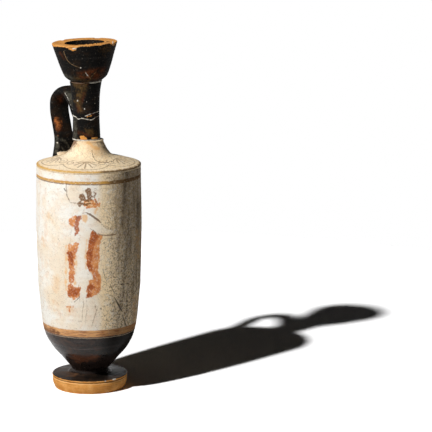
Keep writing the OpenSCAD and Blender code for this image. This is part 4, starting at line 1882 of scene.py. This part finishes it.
@dataclass
class Mouth:
    """The calyx mouth with its flat rim and funnel, and the mend that it stands on."""

    stand: Stand = field(default_factory=Stand)
    height: float = 32.7
    root_d: float = 27.2
    rim_d: float = 55.8
    flare: Point = (18.3, 4.2)
    cup: Point = (21.8, 12.8)
    bulge: float = 0.1
    opening_d: float = 32.6
    funnel: Point = (11.3, 14.0)
    funnel_bulge: float = 1.0
    funnel_end: float = 0.6
    bore_r: float = 7.0
    round_r: float = 0.5
    mend_t: float = 1.2
    mend_in: Point = (0.3, 0.2)
    mend_bite: float = 0.15
    shift: float = 0.5
    lean: float = 2.2
    bare_h: float = 0.9
    bare_in: float = 0.6
    soil: Patch = Patch(((60.0, 76.0), (88.0, 76.0), (89.0, 86.0), (60.0, 86.0)))
    scars: tuple[Scar, ...] = (
        Scar((-10.4, -25.6, 31.5), 3.4, 0.9), Scar((-13.5, -23.6, 32.5), 2.0, 0.7),
        Scar((24.0, -13.5, 32.3), 2.4, 0.9), Scar((-24.5, -12.0, 32.6), 1.8, 0.6),
        Scar((3.0, -27.4, 32.7), 1.5, 0.5), Scar((13.0, -24.2, 32.7), 1.6, 0.5),
        Scar((-20.0, 18.6, 32.4), 2.8, 0.8), Scar((10.0, 25.6, 32.4), 3.0, 0.8),
        Scar((26.6, 6.0, 32.5), 1.7, 0.6),
    )
    marks: Marks = field(default_factory=lambda: {
        "brown": (Patch(((77.0, 72.6), (86.0, 70.6), (96.0, 68.0), (106.0, 67.6), (103.0, 75.6),
                         (97.0, 79.4), (84.0, 79.8), (78.0, 78.0))),
                  Stroke(((60.0, 53.0), (64.0, 58.0)), 1.0)),
        "olive": (Stroke(((76.0, 79.0), (88.0, 80.6)), 1.4),
                  Patch(((102.0, 45.4), (111.4, 44.4), (110.6, 50.0), (106.0, 53.0), (102.0, 51.0)))),
        "haze": (Stroke(((63.0, 74.0), (74.0, 80.0)), 1.2),),
        "bare": (Patch(((68.6, 45.6), (76.6, 45.6), (76.4, 49.6), (73.0, 51.2), (70.4, 50.0),
                        (67.0, 47.6))), Patch(((52.0, 43.0), (66.0, 45.0), (65.0, 46.9), (53.0, 46.6))),
                 Patch(((110.6, 40.0), (117.4, 39.6), (116.4, 43.0), (113.6, 46.0), (111.4, 44.6))),
                 Stroke(((76.0, 45.8), (88.0, 45.1), (100.0, 43.9), (112.0, 42.2)), 0.8)),
        "crack": (Stroke(((63.6, 51.4), (65.4, 56.4), (67.1, 60.0), (70.6, 63.6), (74.3, 65.7),
                          (80.6, 68.0)), 0.26), Stroke(((88.0, 76.0), (91.0, 79.2)), 0.3),
                  Stroke(((96.0, 72.0), (90.0, 78.0)), 0.15)),
        "glazed": (Patch(((77.4, 47.2), (82.0, 46.2), (87.0, 46.4), (95.0, 45.5), (101.0, 45.2),
                          (104.6, 44.2), (106.4, 41.6), (109.6, 41.4), (110.6, 44.6), (109.6, 50.0),
                          (77.0, 52.0))),),
        # the stroke on the front-left chip of the rim is a painted highlight in filler colour
        "pale": (Stroke(((80.6, 67.9),), 0.6), Stroke(((85.8, 73.0), (88.0, 76.0)), 0.3),
                 Stroke(((73.0, 48.8), (76.2, 48.6)), 0.6), Stroke(((113.0, 41.5), (112.8, 44.4)), 0.5)),
    })

    @classmethod
    def on(cls, neck: Neck) -> "Mouth":
        """The mouth as it was set back on the neck, a little askew."""
        return cls(neck.stand.above(cls.shift, neck.height + cls.mend_t, cls.lean))

    def build(self) -> dict[str, bpy.types.Object]:
        """Turns the mouth and its mend.

        Returns:
            Both by node name.
        """
        rim, c, h = self.rim_d / 2, self.round_r, self.height
        outer = smooth_line([(self.root_d / 2, 0), self.flare, self.cup,
                             ((self.cup[0] + rim) / 2 + self.bulge, (self.cup[1] + h) / 2), (rim, h - c)])
        opening = self.opening_d / 2
        inner = smooth_line([(opening, h - 2 * c),
                             ((opening + self.funnel[0]) / 2 + self.funnel_bulge, (h + self.funnel[1]) / 2),
                             self.funnel, (self.bore_r + self.funnel_end, self.flare[1]), (self.bore_r, 0)])
        cup = Turned("mouth_calyx", self.stand, columns=288, front_share=0.3)
        cup.run([(self.bore_r, 0), (self.root_d / 2, 0)], 1.2)
        cup.run(outer, 0.55)
        cup.run(arc((rim, h - c), (rim - 2 * c, h), 0.25), 0.25)
        cup.run(arc((rim - 2 * c, h), (opening + 2 * c, h - c / 2), 0), 0.6)
        cup.run(arc((opening + 2 * c, h - c / 2), (opening, h - 2 * c), 0.2), 0.3)
        cup.run(inner, 1.2)
        relief = Relief(wobble=0.18, wobble_size=22.0, ridge=0.04, ridge_pitch=3.0, grain=0.05, seed=26,
                        scars=self.scars)
        return {"mouth": cup.spin(relief), "mouth_mend": self.mend()}

    def mend(self) -> bpy.types.Object:
        """Turns the filler under the mouth.

        Returns:
            The object.
        """
        t, top, bore = self.mend_t, self.mend_bite, self.bore_r
        low, high = (self.root_d / 2 - inset for inset in self.mend_in)
        ring = Turned("mouth_filler", self.stand, columns=224, front_share=0.3)
        ring.run([(bore, -t), (low, -t)], 1.0)
        ring.run(arc((low, -t), (high, top), 0.2), 0.2)
        ring.run([(high, top), (bore, top)], 1.0)
        ring.run([(bore, top), (bore, -t)], 0.4)
        return ring.spin(Relief(wobble=0.15, wobble_size=6.0, ridge=0.0, grain=0.10, seed=27))

    def dress(self, items: dict[str, bpy.types.Object], sight: Sight) -> None:
        """Dresses the mouth and its mend.

        Args:
            items: both by node name.
            sight: the viewpoint of their marks.
        """
        self.bare_rim(items["mouth"], sight)
        dress(items["mouth"], "mouth", Slot.GLAZE, GlazeFinish(), sight, self.marks)
        dress(items["mouth_mend"], "mouth_mend", Slot.MEND, MendFinish(), sight, {"soil": (self.soil,)})

    def bare_rim(self, item: bpy.types.Object, sight: Sight) -> None:
        """Leaves the clay bare on the flat rim, in its chips and in the marked places.

        Args:
            item: the turned mouth.
            sight: the viewpoint of the marks.
        """
        places, normals = points_of(item)
        local = self.stand.into(places)
        bare = np.minimum((self.height - self.bare_h - local[:, 2]) * 1.1, FAR)
        bare = np.where(np.hypot(local[:, 0], local[:, 1]) < self.opening_d / 2 + self.bare_in, FAR, bare)
        for scar in self.scars:
            bare = np.minimum(bare, np.linalg.norm(local - np.array(scar.place), axis=1) - 0.7 * scar.radius)
        px, seen = sight.pixels(places), sight.facing(places, normals)
        for mark in self.marks["glazed"]:
            bare[seen] = np.maximum(bare[seen], -mark.distance(px[seen]))
        for mark in self.marks["bare"]:
            bare[seen] = np.minimum(bare[seen], mark.distance(px[seen]))
        store(item, "bare", bare)


@dataclass
class Handle:
    """The pulled strap behind the neck, flared at both roots."""

    bearing: float = 127.0
    edge_z: float = 196.3
    arch: Point = (31.0, 63.0)
    arch_bend: float = 5.1
    outer: Point = (44.8, 40.5)
    drawn_in: Point = (37.4, 14.0)
    lower_root: Point = (38.4, -1.0)
    upper_root: Point = (7.0, 52.4)
    upper_way: Point = (18.6, 53.9)
    width: float = 18.2
    thick: float = 7.8
    upper_add: Point = (5.0, 44.0)
    lower_add: Point = (3.4, 4.4)
    square: float = 0.76
    root_span: float = 0.24
    root_curves: Point = (1.5, 3.4)
    neck_r: float = 9.3
    neck_half: Point = (7.6, 0.8)
    dents: Point = (0.16, 14.0)
    grain: Point = (0.05, 2.4)
    sides: int = 56
    marks: Marks = field(default_factory=lambda: {
        "brown": (Patch(((56.6, 96.0), (62.6, 95.0), (63.0, 102.0), (58.0, 105.0))),
                  Patch(((54.6, 116.0), (62.0, 118.0), (62.0, 130.0), (57.4, 133.0), (55.6, 128.0)))),
        "rust": (Stroke(((56.2, 119.6), (57.8, 123.6), (58.2, 129.6)), (0.6, 2.2, 1.5)),
                 Stroke(((57.0, 134.0),), 0.6)),
        # painted highlights on the strap's lit left face and its lower root
        "haze": (Patch(((64.4, 91.6), (72.0, 90.6), (73.0, 100.0), (76.6, 118.0), (71.6, 106.0),
                        (67.6, 98.0))),
                 Stroke(((56.6, 137.0), (57.6, 146.0), (55.6, 152.0)), (1.2, 2.0, 1.6)),
                 Stroke(((61.0, 139.0), (66.0, 142.0), (70.0, 149.0)), 1.0),
                 Stroke(((61.6, 147.0), (64.0, 150.6)), 0.5)),
        "slip": (Patch(((57.4, 152.6), (60.0, 151.6), (65.0, 151.4), (69.0, 150.2), (72.0, 147.6),
                        (76.0, 150.0), (70.0, 160.0), (57.0, 160.0))),),
        "pale": (Stroke(((57.3, 142.7),), 0.7),
                 Stroke(((64.6, 92.4), (67.6, 97.6), (70.6, 104.4), (74.0, 113.6)), 0.22)),
    })

    def middle(self) -> Array:
        """Draws the strap's middle line.

        Returns:
            Its points as (reach, height) in mm, from inside the neck to inside the shoulder.
        """
        arch = (self.arch[0], self.arch[1] - self.thick / 2)
        bend = ((self.arch[0] + self.outer[0]) / 2 + self.arch_bend, (self.arch[1] + self.outer[1]) / 2)
        draw = ((self.outer[0] + self.drawn_in[0]) / 2, (self.outer[1] + self.drawn_in[1]) / 2)
        stations = (self.upper_root, self.upper_way, arch, bend, self.outer, draw, self.drawn_in,
                    self.lower_root)
        return smooth_line([(reach, self.edge_z + height) for reach, height in stations], 18)

    def sections(self) -> Array:
        """Lays a section across the middle line at each of its points outside the neck.

        Returns:
            Places in mm in the row frame, by section and side.
        """
        line = self.middle()
        way = np.gradient(line, axis=0)
        out = np.stack([-way[:, 1], way[:, 0]], 1) / np.linalg.norm(way, axis=1, keepdims=True)
        t = np.linspace(0, 1, len(line))
        near_neck, near_foot = (np.clip(1 - d / self.root_span, 0, 1) for d in (t, 1 - t))
        (add_w, add_fall), (low_w, low_t) = self.upper_add, self.lower_add
        widening, falling = self.root_curves
        low = near_foot**widening
        half_t = (self.thick + low * low_t) / 2
        half_w = (self.width + near_neck**widening * add_w + low * low_w) / 2
        reach_out = np.maximum(line[:, 0] - self.neck_r, 0)
        half_w = np.minimum(half_w, self.neck_half[0] + self.neck_half[1] * reach_out)
        keep = line[:, 0] > self.neck_r
        line, out, half_t, half_w = line[keep], out[keep], half_t[keep, None], half_w[keep, None]
        a = np.arange(self.sides) / self.sides * 2 * math.pi
        lift, wide = (np.sign(c) * np.abs(c) ** self.square for c in (np.cos(a), np.sin(a)))
        fall = (near_neck[keep, None] ** falling) * add_fall * np.clip(-lift, 0, 1)
        reach = line[:, :1] + half_t * lift * out[:, :1]
        height = line[:, 1:] + half_t * lift * out[:, 1:] - fall
        b, w = math.radians(self.bearing), half_w * wide
        x, y = reach * math.cos(b) - w * math.sin(b), reach * math.sin(b) + w * math.cos(b)
        return np.stack([x, y, height], -1)

    def build(self) -> bpy.types.Object:
        """Sweeps the strap.

        Returns:
            The object.
        """
        places = self.sections()
        inward = places - places.mean(axis=1, keepdims=True)
        inward /= np.linalg.norm(inward, axis=-1, keepdims=True)
        (dent, dent_size), (grain, grain_size) = self.dents, self.grain
        uneven = dent * (rough(places, dent_size, 51) - 1) + grain * rough(places, grain_size, 52, 2)
        places = places + uneven[..., None] * inward
        grid = np.arange(places.shape[0] * self.sides).reshape(-1, self.sides)
        side = np.roll(grid, -1, axis=1)
        faces = np.stack([grid[:-1], grid[1:], side[1:], side[:-1]], -1).reshape(-1, 4).tolist()
        faces += [tuple(map(int, grid[0])), tuple(map(int, grid[-1][::-1]))]
        return mesh_object("handle_strap", places.reshape(-1, 3), faces)

    def dress(self, item: bpy.types.Object, sight: Sight) -> None:
        """Dresses the handle."""
        dress(item, "handle", Slot.GLAZE, GlazeFinish(), sight, self.marks)


@dataclass
class Studio:
    """A plain pale floor, one key lamp from the left front and a faint even fill."""

    floor_r: float = 0.66
    near_r: float = 0.06
    floor_tone: float = 0.66
    gloss_tone: float = 1.3
    seen_tones: tuple[float, float] = (1.5, 3.1)
    key: tuple[float, float, float] = (228.6, 46.3, 1.9)
    key_size: float = 0.065
    key_level: float = 1.05
    side: tuple[float, float, float] = (12.0, 6.0, 1.6)
    side_size: float = 0.7
    side_level: float = 0.012
    sky: float = 0.0015
    ground: float = 0.10

    def floor(self) -> None:
        """Lays the floor, whose paper looks white to the camera and in a gloss."""
        turns = np.linspace(0, 2 * math.pi, 128, endpoint=False)
        rim = [(self.floor_r * math.cos(a), self.floor_r * math.sin(a), 0.0) for a in turns]
        mesh = bpy.data.meshes.new("floor")
        mesh.from_pydata(rim, [], [tuple(range(len(rim)))])
        item = bpy.data.objects.new("floor", mesh)
        bpy.context.scene.collection.objects.link(item)
        material = bpy.data.materials.new("floor_paper")
        material.use_nodes = True
        n = Nodes(material.node_tree)
        tone = n.weigh(n.rays("Is Glossy Ray", "Is Transmission Ray"), self.floor_tone, self.gloss_tone)
        away = n.add("VectorMath")
        away.operation = "LENGTH"
        n.feed(away.inputs[0], n.add("TexCoord").outputs["Object"])
        seen = n.weigh(n.rise(away.outputs["Value"], self.near_r, self.floor_r), *self.seen_tones)
        tone = n.weigh(n.rays("Is Camera Ray"), tone, seen)
        paper = n.add("BsdfDiffuse")
        n.feed(paper.inputs["Color"], tone)
        n.links.new(paper.outputs[0], n.add("OutputMaterial").inputs[0])
        mesh.materials.append(material)

    def lamp(self, name: str, bearing: float, height: float, distance: float, size: float,
             level: float) -> None:
        """Sets up a lamp that shines at the middle of the vessel.

        Args:
            name: the lamp's name.
            bearing: its direction in degrees round from +X.
            height: its elevation in degrees.
            distance: how far it stands, in metres.
            size: its diameter in metres.
            level: the brightness of a white surface that faces it.
        """
        data = bpy.data.lights.new(name, "AREA")
        data.shape, data.size = "DISK", size
        data.energy = math.pi**2 * level * distance**2
        item = bpy.data.objects.new(name, data)
        out = Euler((0, math.radians(90 - height), math.radians(bearing)))
        item.matrix_world = out.to_matrix().to_4x4() @ Matrix.Translation((0, 0, distance))
        bpy.context.scene.collection.objects.link(item)

    def light(self) -> None:
        """Sets the lamps and the world, whose lower half stands for the floor past its rim."""
        self.lamp("key", *self.key, self.key_size, self.key_level)
        self.lamp("side", *self.side, self.side_size, self.side_level)
        world = bpy.data.worlds.new("studio")
        bpy.context.scene.world = world
        world.use_nodes = True
        n = Nodes(world.node_tree)
        way = n.add("SeparateXYZ")
        n.feed(way.inputs[0], n.add("TexCoord").outputs["Generated"])
        behind, up = way.outputs[1], way.outputs[2]
        room = n.weigh(n.rise(up, -0.01, 0.01), self.ground, self.sky)
        backdrop = n.times(n.rise(behind, 0.0, 0.5), n.rise(up, 0.08, 0.05))
        room = n.weigh(backdrop, room, 1.0)
        shine = n.times(n.rays("Is Glossy Ray", "Is Transmission Ray"), n.rise(up, 0.3, 0.2))
        shine = n.times(shine, n.rise(behind, -0.3, 0.3))
        tone = n.weigh(n.maths("MAXIMUM", n.rays("Is Camera Ray"), shine), room, 1.0)
        sky = n.add("Background")
        n.feed(sky.inputs["Color"], tone)
        n.links.new(sky.outputs[0], n.add("OutputWorld").inputs[0])


def main() -> None:
    """Builds the pieces in order, dresses them and sets the stage."""
    logging.basicConfig(level=logging.INFO, format="%(name)s: %(message)s")
    sight = Sight()
    sight.camera()
    foot = Foot()
    foot.dress(foot.build(), sight)
    body = Body(seat_z=foot.seat_z)
    body.dress(body.build(), sight)
    shoulder = Shoulder(seam_z=body.seam_z, top_r=body.body_d / 2 - body.top_draw, wall=body.wall)
    shoulder.dress(shoulder.build(), sight)
    neck = Neck()
    neck.dress(neck.build(), sight)
    mouth = Mouth.on(neck)
    mouth.dress(mouth.build(), sight)
    handle = Handle(edge_z=shoulder.edge_z)
    handle.dress(handle.build(), sight)
    studio = Studio()
    studio.floor()
    studio.light()
    bpy.context.scene.view_settings.view_transform = "Standard"


if __name__ == "__main__":
    main()
